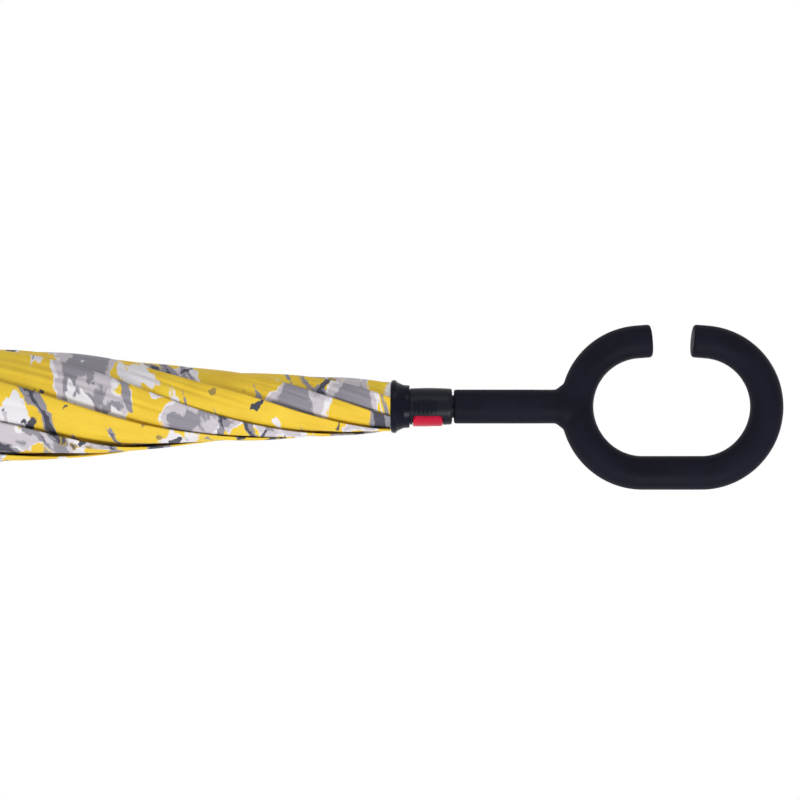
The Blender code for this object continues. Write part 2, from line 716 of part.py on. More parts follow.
def make_collar(black, steel, collection):
    """The flared collar, the ring that clamps the canopy in it, and the rib notch."""
    bore = RUNNER_SPIGOT_RADIUS + FIT_GAP
    cup_top = COLLAR_TOP_Z - COLLAR_BORE_LENGTH
    rim_top = COLLAR_LOW_Z + COLLAR_RIM_HEIGHT
    flare = COLLAR_RIM_RADIUS - COLLAR_TOP_RADIUS
    band_low = COLLAR_TOP_Z - COLLAR_BAND
    flare_height = band_low - rim_top
    cup_radius = COLLAR_RIM_RADIUS - COLLAR_WALL
    turned(
        "runner_collar",
        [
            (COLLAR_TOP_RADIUS - FIT_GAP, COLLAR_TOP_Z),
            (COLLAR_TOP_RADIUS, COLLAR_TOP_Z - FIT_GAP),
            (COLLAR_TOP_RADIUS, band_low),
            (COLLAR_TOP_RADIUS - FIT_GAP, band_low - FIT_GAP),
            (COLLAR_TOP_RADIUS + flare / 8, band_low - flare_height / 2),
            (COLLAR_TOP_RADIUS + flare / 3, band_low - flare_height * 3 / 4),
            (COLLAR_RIM_RADIUS, rim_top),
            (COLLAR_RIM_RADIUS, COLLAR_LOW_Z + FIT_GAP),
            (COLLAR_RIM_RADIUS - FIT_GAP, COLLAR_LOW_Z),
            (cup_radius, COLLAR_LOW_Z),
            (cup_radius, rim_top),
            (NOTCH_RADIUS + FIT_GAP, cup_top),
            (bore, cup_top),
            (bore, COLLAR_TOP_Z),
            (COLLAR_TOP_RADIUS - FIT_GAP, COLLAR_TOP_Z),
        ],
        black,
        collection,
    )
    clamp_high = rim_top - FIT_GAP
    turned(
        "canopy_clamp_ring",
        ring_profile(
            CLAMP_RADIUS - CLAMP_WALL, CLAMP_RADIUS, clamp_high - CLAMP_HEIGHT, clamp_high
        ),
        black,
        collection,
    )
    low = NOTCH_TOP_Z - NOTCH_HEIGHT
    notch = turned(
        "rib_notch",
        ring_profile(SHAFT_RADIUS + SLIDE_GAP, NOTCH_RADIUS, low, NOTCH_TOP_Z),
        black,
        collection,
    )
    groove = turned(
        "groove",
        ring_profile(
            HINGE_RADIUS - HINGE_WIRE_RADIUS - FIT_GAP,
            HINGE_RADIUS + HINGE_WIRE_RADIUS + FIT_GAP,
            low - CUT_OVERRUN,
            RIB_PIVOT_Z + HINGE_WIRE_RADIUS + FIT_GAP,
        ),
        black,
        collection,
    )
    cutters = slot_cutters(
        GORES,
        NOTCH_SLOT,
        HINGE_RADIUS - EYE_RADIUS - FIT_GAP,
        NOTCH_RADIUS + CUT_OVERRUN,
        low - CUT_OVERRUN,
        RIB_PIVOT_Z + EYE_RADIUS + FIT_GAP,
        0.0,
        black,
        collection,
    )
    combine(notch, [groove, *cutters], "DIFFERENCE", black)
    make_hinge_wire("rib_wire", HINGE_RADIUS, RIB_PIVOT_Z, steel, collection)


def rib_point(reach, across=0.0):
    """A point on the first rib's line, a given reach from its hinge."""
    return Vector(
        (
            HINGE_RADIUS + reach * math.sin(RIB_SPLAY),
            across,
            RIB_PIVOT_Z - reach * math.cos(RIB_SPLAY),
        )
    )


def stretcher_joint():
    """The point where the first rib's joint meets its stretcher."""
    return rib_point(RIB_JOINT_REACH, STRETCHER_OFFSET)


def eye(name, centre, width, finish_material, collection):
    """A flat eye, its axis tangential, before its bore is cut."""
    half = Vector((0, width / 2, 0))
    return rod(name, centre - half, centre + half, EYE_RADIUS, finish_material, collection)


def eye_bore(centre, finish_material, collection):
    """The cutter for an eye's bore."""
    half = Vector((0, EYE_WIDTH + CUT_OVERRUN, 0))
    radius = HINGE_WIRE_RADIUS + EYE_BORE / 2
    return rod("bore", centre - half, centre + half, radius, finish_material, collection)


def make_rib(glass_fibre, collection):
    """One rib: rod, hinge eye and the bracket that meets the stretcher."""
    hinge = rib_point(0.0)
    end_reach = (RIB_PIVOT_Z - RIB_TIP_LENGTH / 2) / math.cos(RIB_SPLAY)
    long_rod = rod(
        "rib_1", rib_point((EYE_RADIUS + EYE_BORE) / 2), rib_point(end_reach), RIB_RADIUS, glass_fibre, collection
    )
    bracket = rod(
        "bracket",
        rib_point(RIB_JOINT_REACH - BRACKET_LENGTH / 2),
        rib_point(RIB_JOINT_REACH + BRACKET_LENGTH / 2),
        BRACKET_RADIUS,
        glass_fibre,
        collection,
    )
    cheek_reach = STRETCHER_OFFSET - STRETCHER_THICKNESS / 2 - FIT_GAP
    cheek = rod(
        "cheek",
        rib_point(RIB_JOINT_REACH, 0.0),
        rib_point(RIB_JOINT_REACH, cheek_reach),
        BRACKET_CHEEK / 2,
        glass_fibre,
        collection,
    )
    parts = [eye("eye", hinge, EYE_WIDTH, glass_fibre, collection), bracket, cheek]
    made = combine(long_rod, parts, "UNION", glass_fibre)
    made = combine(made, [eye_bore(hinge, glass_fibre, collection)], "DIFFERENCE", glass_fibre)
    return put_origin(made, hinge)


def make_rib_tip(black, collection):
    """The plastic cap on a rib's end, cut level where it stands on the floor."""
    reach = RIB_PIVOT_Z / math.cos(RIB_SPLAY)
    cap = rod(
        "rib_tip_1",
        rib_point(reach - RIB_TIP_LENGTH),
        rib_point(reach + CUT_OVERRUN),
        RIB_TIP_RADIUS,
        black,
        collection,
    )
    foot = rib_point(reach)
    level = block(
        "level",
        (RIB_TIP_LENGTH, RIB_TIP_LENGTH, RIB_TIP_LENGTH),
        Matrix.Translation((foot.x, 0, -RIB_TIP_LENGTH / 2)),
        black,
        collection,
    )
    socket = rod(
        "socket",
        rib_point(reach - RIB_TIP_LENGTH - CUT_OVERRUN),
        rib_point(reach - RIB_TIP_LENGTH / 2 + FIT_GAP),
        RIB_RADIUS + FIT_GAP,
        black,
        collection,
    )
    cap = combine(cap, [level, socket], "DIFFERENCE", black)
    return put_origin(cap, rib_point(0.0))


def make_stretcher(steel, collection):
    """One stretcher: a flat bar between the crown's eye and the rib bracket, with its rivet."""
    low = Vector((HINGE_RADIUS, STRETCHER_OFFSET, CROWN_PIVOT_Z))
    high = stretcher_joint()
    along = (high - low).normalized()
    across = Vector((0, 1, 0))
    turn = Matrix((across.cross(along), across, along)).transposed().to_4x4()
    start = low + along * EYE_RADIUS / 2
    bar_length = (high - start).length
    bar = block(
        "stretcher_1",
        (STRETCHER_WIDTH, STRETCHER_THICKNESS, bar_length),
        Matrix.Translation((start + high) / 2) @ turn,
        steel,
        collection,
    )
    half = Vector((0, STRETCHER_THICKNESS / 2, 0))
    end = rod("end", high - half, high + half, STRETCHER_END_RADIUS, steel, collection)
    head = rod(
        "head",
        high,
        high + half + Vector((0, RIVET_HEIGHT, 0)),
        RIVET_RADIUS,
        steel,
        collection,
    )
    parts = [eye("eye", low, EYE_WIDTH, steel, collection), end, head]
    made = combine(bar, parts, "UNION", steel)
    made = combine(made, [eye_bore(low, steel, collection)], "DIFFERENCE", steel)
    return put_origin(made, low)


def between_stations(share, column):
    """A smooth value of a canopy station column at a share of the canopy's length."""
    for first, second in zip(CANOPY_STATION_SHARES, CANOPY_STATION_SHARES[1:]):
        if share <= second[0]:
            part = (share - first[0]) / (second[0] - first[0])
            return first[column] + (second[column] - first[column]) * part
    return CANOPY_STATION_SHARES[-1][column]


def gore_section(share):
    """The section of the first folded gore: a blade that winds outwards over its neighbours."""
    z = CANOPY_TOP_Z - share * CANOPY_LENGTH
    rib_radius = HINGE_RADIUS + (RIB_PIVOT_Z - z) * math.tan(RIB_SPLAY)
    inner = rib_radius + CANOPY_RIB_COVER
    outer = CANOPY_HEM_RADIUS * between_stations(share, 1)
    wrap = math.radians(between_stations(share, 2))
    pitch = (outer - inner) / (wrap / GORE_STEP + CANOPY_FILL_SHARE)
    cloth = min(CANOPY_CLOTH_MOST, CANOPY_FILL_SHARE * pitch)
    rise = outer - inner - cloth
    steps = [step / CANOPY_WRAP_STEPS for step in range(CANOPY_WRAP_STEPS + 1)]
    layers = []
    for base in (inner + cloth, inner):
        points = [(base + rise * step, -wrap * step) for step in steps]
        layers.append([(r * math.cos(turn), r * math.sin(turn), z) for r, turn in points])
    return layers


def canopy_shares():
    """Shares of the canopy's length to put sections at, closer together where it twists."""
    twisted, straight = CANOPY_TWISTED_STEPS, CANOPY_STRAIGHT_STEPS
    shares = [CANOPY_TWISTED_SHARE * step / twisted for step in range(twisted)]
    rest = 1.0 - CANOPY_TWISTED_SHARE
    shares += [CANOPY_TWISTED_SHARE + rest * step / straight for step in range(straight + 1)]
    return shares


def make_gore(cloth, collection):
    """One folded gore of the canopy as a closed blade, its faces split along the twist."""
    tools = bmesh.new()
    rows = [
        [[tools.verts.new(point) for point in layer] for layer in gore_section(share)]
        for share in canopy_shares()
    ]
    for upper, lower in zip(rows, rows[1:]):
        for high, low in zip(upper, lower):
            for i in range(CANOPY_WRAP_STEPS):
                tools.faces.new((high[i], high[i + 1], low[i]))
                tools.faces.new((high[i + 1], low[i + 1], low[i]))
        for i in (0, CANOPY_WRAP_STEPS):
            tools.faces.new((upper[0][i], lower[0][i], lower[1][i], upper[1][i]))
    for outside, inside in (rows[0], rows[-1]):
        for i in range(CANOPY_WRAP_STEPS):
            tools.faces.new((outside[i], outside[i + 1], inside[i + 1], inside[i]))
    return put_origin(finish(tools, "canopy_gore_1", cloth, collection), fan_centres()[0])


def make_inner_gore(cloth, collection):
    """One fold of the inner cloth, standing between two stretchers."""
    turn = Matrix.Rotation(-GORE_STEP * (1 - INNER_CLOTH_AZIMUTH_SHARE), 4, "Z")
    low = CROWN_PIVOT_Z + INNER_CLOTH_LOW_RISE
    half = INNER_CLOTH_THICKNESS / 2
    sections = []
    for z, outer in (
        (low, INNER_CLOTH_LOW_RADIUS),
        (low + INNER_CLOTH_LENGTH, INNER_CLOTH_HIGH_RADIUS),
    ):
        inner = INNER_CLOTH_INNER_RADIUS
        corners = [(inner, -half, z), (outer, -half, z), (outer, half, z), (inner, half, z)]
        sections.append([turn @ Vector(corner) for corner in corners])
    return put_origin(lofted("inner_gore_1", sections, cloth, collection), fan_centres()[1])


def fan_centres():
    """Where the canopy's and the inner cloth's fans turn on the shaft's axis.

    A gore's fan hinge passes through the shaft's axis at the point that its rib, or its
    stretcher, carries back onto that axis when the umbrella is open.
    """
    joint = stretcher_joint()
    stretcher = math.hypot(joint.x - HINGE_RADIUS, joint.z - CROWN_PIVOT_Z)
    rib_square, stretcher_square = RIB_JOINT_REACH**2, stretcher**2
    gap_square = OPEN_PIVOT_GAP**2
    at_rib = (gap_square + rib_square - stretcher_square) / (2 * OPEN_PIVOT_GAP * RIB_JOINT_REACH)
    at_crown = (gap_square + stretcher_square - rib_square) / (2 * OPEN_PIVOT_GAP * stretcher)
    rib_turn = math.acos(at_rib) - RIB_SPLAY
    rest_lean = math.atan2(joint.x - HINGE_RADIUS, joint.z - CROWN_PIVOT_Z)
    stretcher_turn = math.acos(at_crown) - rest_lean
    return (
        Vector((0, 0, RIB_PIVOT_Z + HINGE_RADIUS * math.tan(rib_turn / 2))),
        Vector((0, 0, CROWN_PIVOT_Z - HINGE_RADIUS * math.tan(stretcher_turn / 2))),
    )


def put_origin(obj, point):
    """Move an object's origin to a point, leaving its shape where it is."""
    obj.data.transform(Matrix.Translation(-point))
    obj.location = point
    return obj


def repeat(first, stem, collection):
    """Copies of a piece round the shaft, each its own object on the first one's mesh."""
    for index in range(1, GORES):
        copy = bpy.data.objects.new(f"{stem}_{index + 1}", first.data)
        copy.matrix_world = Matrix.Rotation(index * GORE_STEP, 4, "Z") @ first.matrix_basis
        collection.objects.link(copy)


def main():
    """Build the umbrella."""
    clear_scene()
    collection = bpy.data.collections.new("inverted_umbrella")
    bpy.context.scene.collection.children.link(collection)
    soft_touch = material("soft_touch_black", (0.012, 0.013, 0.02), 0.55)
    black = material("moulded_black", (0.012, 0.012, 0.016), 0.4)
    red = material("button_red", (0.6, 0.01, 0.06), 0.3)
    steel = material("steel", (0.5, 0.5, 0.52), 0.3, 1.0)
    glass_fibre = material("glass_fibre", (0.02, 0.02, 0.022), 0.45)
    printed = material("printed_cloth", (0.9, 0.62, 0.03), 0.7)
    lining = material("lining_cloth", (0.015, 0.015, 0.02), 0.7)
    make_handle(soft_touch, steel, black, collection)
    make_shaft(steel, black, collection)
    make_crown(black, steel, collection)
    make_runner(black, collection)
    make_button(red, steel, collection)
    make_collar(black, steel, collection)
    repeat(make_rib(glass_fibre, collection), "rib", collection)
    repeat(make_rib_tip(black, collection), "rib_tip", collection)
    repeat(make_stretcher(steel, collection), "stretcher", collection)
    repeat(make_gore(printed, collection), "canopy_gore", collection)
    repeat(make_inner_gore(lining, collection), "inner_gore", collection)


main()
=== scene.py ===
"""Studio look of a folded inverted umbrella with a printed canopy and a loop handle."""

import json
import logging
import math
from abc import ABC, abstractmethod
from collections.abc import Sequence
from dataclasses import dataclass
from enum import Enum

import bmesh
import bpy
import numpy as np
from mathutils import Matrix, Vector


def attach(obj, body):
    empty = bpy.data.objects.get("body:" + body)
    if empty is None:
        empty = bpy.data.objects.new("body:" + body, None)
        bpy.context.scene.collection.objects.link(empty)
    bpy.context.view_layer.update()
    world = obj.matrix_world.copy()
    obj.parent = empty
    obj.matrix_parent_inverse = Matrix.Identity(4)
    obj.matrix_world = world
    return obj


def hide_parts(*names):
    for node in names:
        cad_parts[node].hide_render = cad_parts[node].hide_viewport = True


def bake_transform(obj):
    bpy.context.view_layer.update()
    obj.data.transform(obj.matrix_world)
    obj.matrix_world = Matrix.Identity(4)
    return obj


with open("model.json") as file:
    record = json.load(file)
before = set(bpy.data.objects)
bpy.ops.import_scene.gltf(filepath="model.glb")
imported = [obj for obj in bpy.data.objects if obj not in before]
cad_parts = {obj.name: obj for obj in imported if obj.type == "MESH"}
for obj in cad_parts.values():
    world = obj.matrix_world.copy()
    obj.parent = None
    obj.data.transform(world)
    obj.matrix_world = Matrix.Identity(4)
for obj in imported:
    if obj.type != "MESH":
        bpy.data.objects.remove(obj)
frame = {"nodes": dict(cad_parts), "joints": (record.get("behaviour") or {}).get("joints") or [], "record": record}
LOG = logging.getLogger("umbrella")
MM = 0.001
Point = tuple[float, float, float]
Colour = tuple[float, float, float]
Socket = bpy.types.NodeSocket
Material = bpy.types.Material
Object = bpy.types.Object
Profile = list[tuple[float, float]]
Value = Socket | float | tuple[float, ...]


class Side(Enum):
    """Which of the two cloth layers a gore belongs to."""

    PRINTED = "printed"
    LINING = "lining"


def turns(sides: int) -> list[float]:
    """Equal steps of one full turn, in radians."""
    return [2 * math.pi * i / sides for i in range(sides)]


def around(radius: float, turn: float, z: float) -> Point:
    """The point at a radius, an angle round the shaft's axis and a height."""
    return (radius * math.cos(turn), radius * math.sin(turn), z)


def link(obj: Object) -> Object:
    """Put an object into the scene."""
    bpy.context.scene.collection.objects.link(obj)
    return obj


def shade(obj: Object, sharp_deg: float) -> Object:
    """Shade an object smooth but for edges from the given angle."""
    obj.data.shade_smooth()
    obj.data.set_sharp_from_angle(angle=math.radians(sharp_deg))
    return obj


def mesh_object(
    name: str,
    points: Sequence[Point] | np.ndarray,
    faces: list[tuple[int, ...]],
    sharp_deg: float = 35.0,
) -> Object:
    """Make an object from points and faces, shaded smooth but for its sharp edges.

    Args:
        name: The object's name.
        points: Its vertices in metres.
        faces: Its faces as vertex numbers.
        sharp_deg: The angle from which an edge stays sharp.

    Returns:
        The new object.
    """
    mesh = bpy.data.meshes.new(name)
    mesh.from_pydata([tuple(p) for p in points], [], faces)
    mesh.validate()
    return shade(link(bpy.data.objects.new(name, mesh)), sharp_deg)


def skin(
    name: str, rings: list[list[Point]], closed: bool = False, sharp_deg: float = 35.0
) -> Object:
    """Skin a row of rings that all have the same number of points.

    Args:
        name: The object's name.
        rings: Each ring's points in metres.
        closed: Whether the last ring joins the first, so that there are no ends to cap.
        sharp_deg: The angle from which an edge stays sharp.

    Returns:
        The new object.
    """
    sides, last = len(rings[0]), len(rings) - 1
    faces: list[tuple[int, ...]] = []
    for i in range(len(rings) if closed else last):
        a, b = i * sides, (i + 1) % len(rings) * sides
        for j in range(sides):
            k = (j + 1) % sides
            faces.append((a + j, a + k, b + k, b + j))
    if not closed:
        faces.append(tuple(range(sides))[::-1])
        faces.append(tuple(last * sides + j for j in range(sides)))
    points = [point for ring in rings for point in ring]
    return mesh_object(name, points, faces, sharp_deg)


def face_out(obj: Object, merge: float = 0.0) -> Object:
    """Turn all faces outwards, after points closer than the given distance are merged."""
    tools = bmesh.new()
    tools.from_mesh(obj.data)
    if merge:
        bmesh.ops.remove_doubles(tools, verts=tools.verts, dist=merge)
    bmesh.ops.recalc_face_normals(tools, faces=tools.faces)
    tools.to_mesh(obj.data)
    tools.free()
    return obj


def edited_object(name: str, tools: bmesh.types.BMesh) -> Object:
    """Make an object from an edited mesh, which is then freed."""
    mesh = bpy.data.meshes.new(name)
    tools.to_mesh(mesh)
    tools.free()
    return link(bpy.data.objects.new(name, mesh))


def corner(radius: float, z: float, edge: float, up: int = 1) -> Profile:
    """Round a profile's outer corner, from its top face, or bottom face for -1, to its side."""
    if not edge:
        return [(radius, z)]
    bends = ((1.0, 0.0), (0.3, 0.3), (0.0, 1.0))
    return [(radius - inward * edge, z - up * down * edge) for inward, down in bends]


def lathe(name: str, profile: Profile, sides: int, sharp_deg: float = 35.0) -> Object:
    """Turn a closed profile of points (radius, z) about the shaft's axis in equal steps."""
    rings = [[around(r, turn, z) for r, z in profile] for turn in turns(sides)]
    return face_out(skin(name, rings, closed=True, sharp_deg=sharp_deg), 1e-7)


def tube(name: str, path: list[Point], radii: list[float], sides: int) -> Object:
    """Skin a round tube with closed ends along a path in the XZ plane.

    Args:
        name: The object's name.
        path: The centre line's points.
        radii: The tube's radius at each point.
        sides: How many sides the tube has.

    Returns:
        The tube.
    """
    last = len(path) - 1
    side = Vector((0, 1, 0))
    rings: list[list[Point]] = []
    for i, centre in enumerate(path):
        before, after = Vector(path[max(i - 1, 0)]), Vector(path[min(i + 1, last)])
        up = (after - before).normalized().cross(side).normalized()
        spokes = [math.cos(turn) * side + math.sin(turn) * up for turn in turns(sides)]
        rings.append([tuple(Vector(centre) + radii[i] * spoke) for spoke in spokes])
    return face_out(skin(name, rings))


def apply_modifiers(obj: Object) -> Object:
    """Replace an object's mesh by what its modifiers make of it."""
    graph = bpy.context.evaluated_depsgraph_get()
    bpy.context.view_layer.update()
    mesh = bpy.data.meshes.new_from_object(obj.evaluated_get(graph))
    obj.modifiers.clear()
    obj.data = mesh
    return obj


def boolean(obj: Object, other: Object, kind: str) -> Object:
    """Change an object by UNION, DIFFERENCE or INTERSECT with another, which is removed."""
    modifier = obj.modifiers.new("cut", "BOOLEAN")
    modifier.operation = kind
    modifier.object = other
    modifier.solver = "EXACT"
    apply_modifiers(obj)
    bpy.data.objects.remove(other, do_unlink=True)
    return obj


def wear(obj: Object, finish: Material) -> None:
    """Make a finish an object's only material."""
    obj.data.materials.clear()
    obj.data.materials.append(finish)


def dress(obj: Object, finishes: dict[str, Material], slot: str, body: str, node: str = "") -> None:
    """Give a piece its finish and its body, and put it in the place of a solid.

    Args:
        obj: The piece.
        finishes: Each material slot's finish.
        slot: The piece's material slot.
        body: The body that carries it.
        node: The solid whose place it takes, if any.
    """
    wear(obj, finishes[slot])
    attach(obj, body)
    if node:
        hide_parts(node)


class Tree:
    """A small helper that lays out a tree of shader nodes."""

    def __init__(self, tree: bpy.types.NodeTree) -> None:
        """Work on the given tree."""
        self.nodes = tree.nodes
        self.links = tree.links

    def feed(self, node: bpy.types.Node, inputs: dict[str | int, Value]) -> None:
        """Set a node's inputs, or link them to other nodes' outputs."""
        for key, value in inputs.items():
            if isinstance(value, Socket):
                self.links.new(value, node.inputs[key])
            else:
                node.inputs[key].default_value = value

    def add(
        self, kind: str, inputs: dict[str | int, Value] | None = None, **settings: str
    ) -> bpy.types.Node:
        """Add a node with its settings and its inputs."""
        node = self.nodes.new(kind)
        for key, value in settings.items():
            setattr(node, key, value)
        self.feed(node, inputs or {})
        return node

    def math(self, kind: str, a: Socket, b: Socket | float = 0.0) -> Socket:
        """One arithmetic step on one or two values."""
        return self.add("ShaderNodeMath", {0: a, 1: b}, operation=kind).outputs[0]

    def seen(self) -> Socket:
        """1 for the camera's own rays and those that reach it by gloss or glass, else 0."""
        path = self.add("ShaderNodeLightPath")
        shown = path.outputs["Is Camera Ray"]
        for ray in ("Is Glossy Ray", "Is Transmission Ray"):
            shown = self.math("MAXIMUM", shown, path.outputs[ray])
        return shown


class Shader(Tree):
    """A Principled material and the fields that drive it."""

    def __init__(self, name: str) -> None:
        """Start a material of the given name."""
        self.material = bpy.data.materials.new(name)
        self.material.use_nodes = True
        super().__init__(self.material.node_tree)
        self.main = self.nodes["Principled BSDF"]

    def mapping(self, coords: Socket, **inputs: tuple[float, ...]) -> Socket:
        """Move, turn or scale coordinates."""
        return self.add("ShaderNodeMapping", {"Vector": coords, **inputs}).outputs["Vector"]

    def noise(
        self,
        coords: Socket,
        scale: float,
        detail: float = 2.0,
        rough: float = 0.5,
        output: str = "Fac",
    ) -> Socket:
        """A noise field over the given coordinates."""
        inputs = {"Vector": coords, "Scale": scale, "Detail": detail, "Roughness": rough}
        return self.add("ShaderNodeTexNoise", inputs).outputs[output]

    def ramp(
        self, value: Socket, low: float, high: float, out: tuple[float, float] = (0.0, 1.0)
    ) -> Socket:
        """Map a value's range onto another one, clamped."""
        inputs = {"Value": value, "From Min": low, "From Max": high}
        inputs |= {"To Min": out[0], "To Max": out[1]}
        return self.add("ShaderNodeMapRange", inputs).outputs["Result"]

    def mix(self, share: Socket, first: Socket | Colour, second: Socket | Colour) -> Socket:
        """Mix two colours by a share."""
        tints = [(*tint, 1.0) if isinstance(tint, tuple) else tint for tint in (first, second)]
        inputs = {0: share, 6: tints[0], 7: tints[1]}
        return self.add("ShaderNodeMix", inputs, data_type="RGBA").outputs[2]

    def bump(self, height: Socket, depth: float, strength: float) -> None:
        """Bump the surface by a height of the given depth in metres."""
        inputs = {"Height": height, "Distance": depth, "Strength": strength}
        self.feed(self.main, {"Normal": self.add("ShaderNodeBump", inputs).outputs["Normal"]})


def shades(colour: Colour, *shares: float) -> list[Colour]:
    """A colour made darker or lighter, once for each share."""
    return [tuple(c * share for c in colour) for share in shares]


@dataclass(frozen=True)
class MouldedFinish:
    """Moulded plastic with a fine grain and slight changes in tone and gloss."""

    name: str
    colour: Colour
    roughness: float
    grain_scale: float = 9000.0
    grain_depth: float = 0.00002
    spread: float = 0.08
    tone: float = 0.25
    cloud_scale: float = 60.0
    coat: float = 0.0
    coat_roughness: float = 0.12
    shine: float = 0.35

    def build(self) -> Material:
        """Make the material."""
        sh = Shader(self.name)
        coords = sh.add("ShaderNodeTexCoord").outputs["Object"]
        cloud = sh.noise(coords, self.cloud_scale, 3.0)
        tints = shades(self.colour, 1 - self.tone, 1 + self.tone)
        gloss = (self.roughness - self.spread, self.roughness + self.spread)
        sh.bump(sh.noise(coords, self.grain_scale), self.grain_depth, 0.5)
        inputs = {
            "Base Color": sh.mix(sh.ramp(cloud, 0.3, 0.7), *tints),
            "Roughness": sh.ramp(cloud, 0.3, 0.7, gloss),
            "Specular IOR Level": self.shine,
            "Coat Weight": self.coat,
            "Coat Roughness": self.coat_roughness,
        }
        sh.feed(sh.main, inputs)
        return sh.material


@dataclass(frozen=True)
class MetalFinish:
    """Drawn steel with fine lines along it."""

    name: str
    colour: Colour
    roughness: float
    line_scale: float = 4000.0
    line_stretch: float = 0.02
    line_depth: float = 0.00001

    def build(self) -> Material:
        """Make the material."""
        sh = Shader(self.name)
        coords = sh.add("ShaderNodeTexCoord").outputs["Object"]
        stretched = sh.mapping(coords, Scale=(1.0, 1.0, self.line_stretch))
        lines = sh.noise(stretched, self.line_scale, 3.0)
        gloss = (self.roughness * 0.7, self.roughness * 1.3)
        sh.bump(lines, self.line_depth, 0.3)
        inputs = {"Base Color": (*self.colour, 1.0), "Metallic": 1.0}
        sh.feed(sh.main, inputs | {"Roughness": sh.ramp(lines, 0.3, 0.7, gloss)})
        return sh.material


@dataclass(frozen=True)
class Stroke:
    """One kind of printed mark: its field's scale, its turn, its stretch and its offset."""

    scale: float
    turn: float
    across: float
    along: float
    offset: float


BLOT = Stroke(scale=42.0, turn=0.7, across=1.0, along=0.62, offset=2.3)
FLAKE = Stroke(scale=66.0, turn=-0.5, across=1.0, along=0.7, offset=9.1)
DASH = Stroke(scale=58.0, turn=-0.9, across=1.7, along=0.45, offset=17.7)
CROSS = Stroke(scale=64.0, turn=0.9, across=1.9, along=0.5, offset=31.3)


@dataclass(frozen=True)
class ClothFinish:
    """Thin woven pongee, printed on one face and dyed dark on the other, or dark on both."""

    name: str
    side: Side
    yellow: Colour = (0.9, 0.63, 0.03)
    deep_yellow: Colour = (0.82, 0.53, 0.02)
    lilac: Colour = (0.6, 0.55, 0.6)
    grey: Colour = (0.27, 0.255, 0.3)
    slate: Colour = (0.04, 0.04, 0.065)
    pale: Colour = (0.82, 0.8, 0.84)
    umber: Colour = (0.35, 0.25, 0.06)
    dark: Colour = (0.012, 0.012, 0.018)
    thread: float = 0.00035
    crease_scale: float = 160.0
    crease_height: float = 12.0
    depth: float = 0.00004

    def weave(self, sh: Shader, coords: Socket) -> Socket:
        """The threads' height over the cloth, used for its bump and for painted shade between the threads and
        painted highlight on their crests.
        """
        split = sh.add("ShaderNodeSeparateXYZ", {0: coords})
        across, along = (
            sh.math("SINE", sh.math("MULTIPLY", split.outputs[axis], 2 * math.pi / self.thread))
            for axis in (0, 1)
        )
        return sh.math("MULTIPLY", across, along)

    def warped(self, sh: Shader, coords: Socket, scale: float, reach: float) -> Socket:
        """Shift the coordinates by a noise field, so that edges look brushed."""
        warp = sh.noise(coords, scale, 4.0, output="Color")
        inputs = {0: warp, 1: (reach, reach, reach), 2: coords}
        return sh.add("ShaderNodeVectorMath", inputs, operation="MULTIPLY_ADD").outputs[0]

    def layer(self, sh: Shader, coords: Socket, stroke: Stroke) -> Socket:
        """One kind of mark as a field, turned and stretched along its brush stroke."""
        offset = (stroke.offset, 3.1 * stroke.offset, 0.0)
        turned = sh.mapping(coords, Location=offset, Rotation=(0.0, 0.0, stroke.turn))
        place = sh.mapping(turned, Scale=(stroke.across, stroke.along, 1.0))
        return sh.noise(place, stroke.scale, 2.0, 0.45)

    def patches(self, sh: Shader, coords: Socket) -> Socket:
        """The generic print: brushed blots with pale fringes, short dark strokes and dots."""
        bent = self.warped(sh, self.warped(sh, coords, 45.0, 0.02), 260.0, 0.004)
        mottle = sh.noise(bent, 120.0, 4.0, 0.6)
        sun = sh.ramp(sh.noise(coords, 38.0), 0.35, 0.65)
        blot, flake, dash, cross = (
            self.layer(sh, bent, stroke) for stroke in (BLOT, FLAKE, DASH, CROSS)
        )
        fringe = sh.math("SUBTRACT", blot, sh.ramp(mottle, 0.35, 0.65, (0.515, 0.555)))
        core = sh.math("ADD", blot, sh.math("MULTIPLY", mottle, 0.16))
        colour = sh.mix(sun, self.yellow, self.deep_yellow)
        for field, low, high, tint in (
            (fringe, 0.0, 0.006, self.pale),
            (blot, 0.553, 0.565, self.lilac),
            (core, 0.69, 0.71, self.grey),
            (flake, 0.64, 0.655, self.pale),
            (dash, 0.605, 0.62, self.grey),
            (dash, 0.66, 0.67, self.slate),
            (cross, 0.668, 0.678, self.slate),
        ):
            colour = sh.mix(sh.ramp(field, low, high), colour, tint)
        inputs = {"Vector": bent, "Scale": 115.0, "Randomness": 0.8}
        dots = sh.add("ShaderNodeTexVoronoi", inputs).outputs["Distance"]
        zone = sh.ramp(sh.noise(coords, 17.0, 1.0), 0.56, 0.58)
        for rim, full, tint in ((0.27, 0.25, self.umber), (0.15, 0.13, self.slate)):
            spot = sh.math("MULTIPLY", sh.ramp(dots, rim, full), zone)
            colour = sh.mix(spot, colour, tint)
        return colour

    def build(self) -> Material:
        """Make the material."""
        sh = Shader(self.name)
        uv = sh.add("ShaderNodeUVMap", uv_map="cloth").outputs["UV"]
        threads = self.weave(sh, uv)
        # Painted shade and highlight: the dark face is painted darker between the threads and lighter on their
        # crests.
        colour = sh.mix(sh.ramp(threads, -1.0, 1.0), *shades(self.dark, 0.8, 1.3))
        if self.side is Side.PRINTED:
            # Painted shade and highlight: the print is painted a little darker between the threads and lighter on
            # their crests.
            inputs = {"Value": sh.ramp(threads, -1.0, 1.0, (0.96, 1.02))}
            inputs["Color"] = self.patches(sh, uv)
            thread_shaded = sh.add("ShaderNodeHueSaturation", inputs)
            back = sh.add("ShaderNodeNewGeometry").outputs["Backfacing"]
            colour = sh.mix(back, thread_shaded.outputs["Color"], colour)
        crease = sh.noise(uv, self.crease_scale, 3.0, 0.55)
        height = sh.math("ADD", sh.math("MULTIPLY", crease, self.crease_height), threads)
        sh.bump(height, self.depth, 0.6)
        inputs = {"Base Color": colour, "Roughness": 0.62}
        sh.feed(sh.main, inputs | {"Sheen Weight": 0.15, "Sheen Roughness": 0.4})
        return sh.material


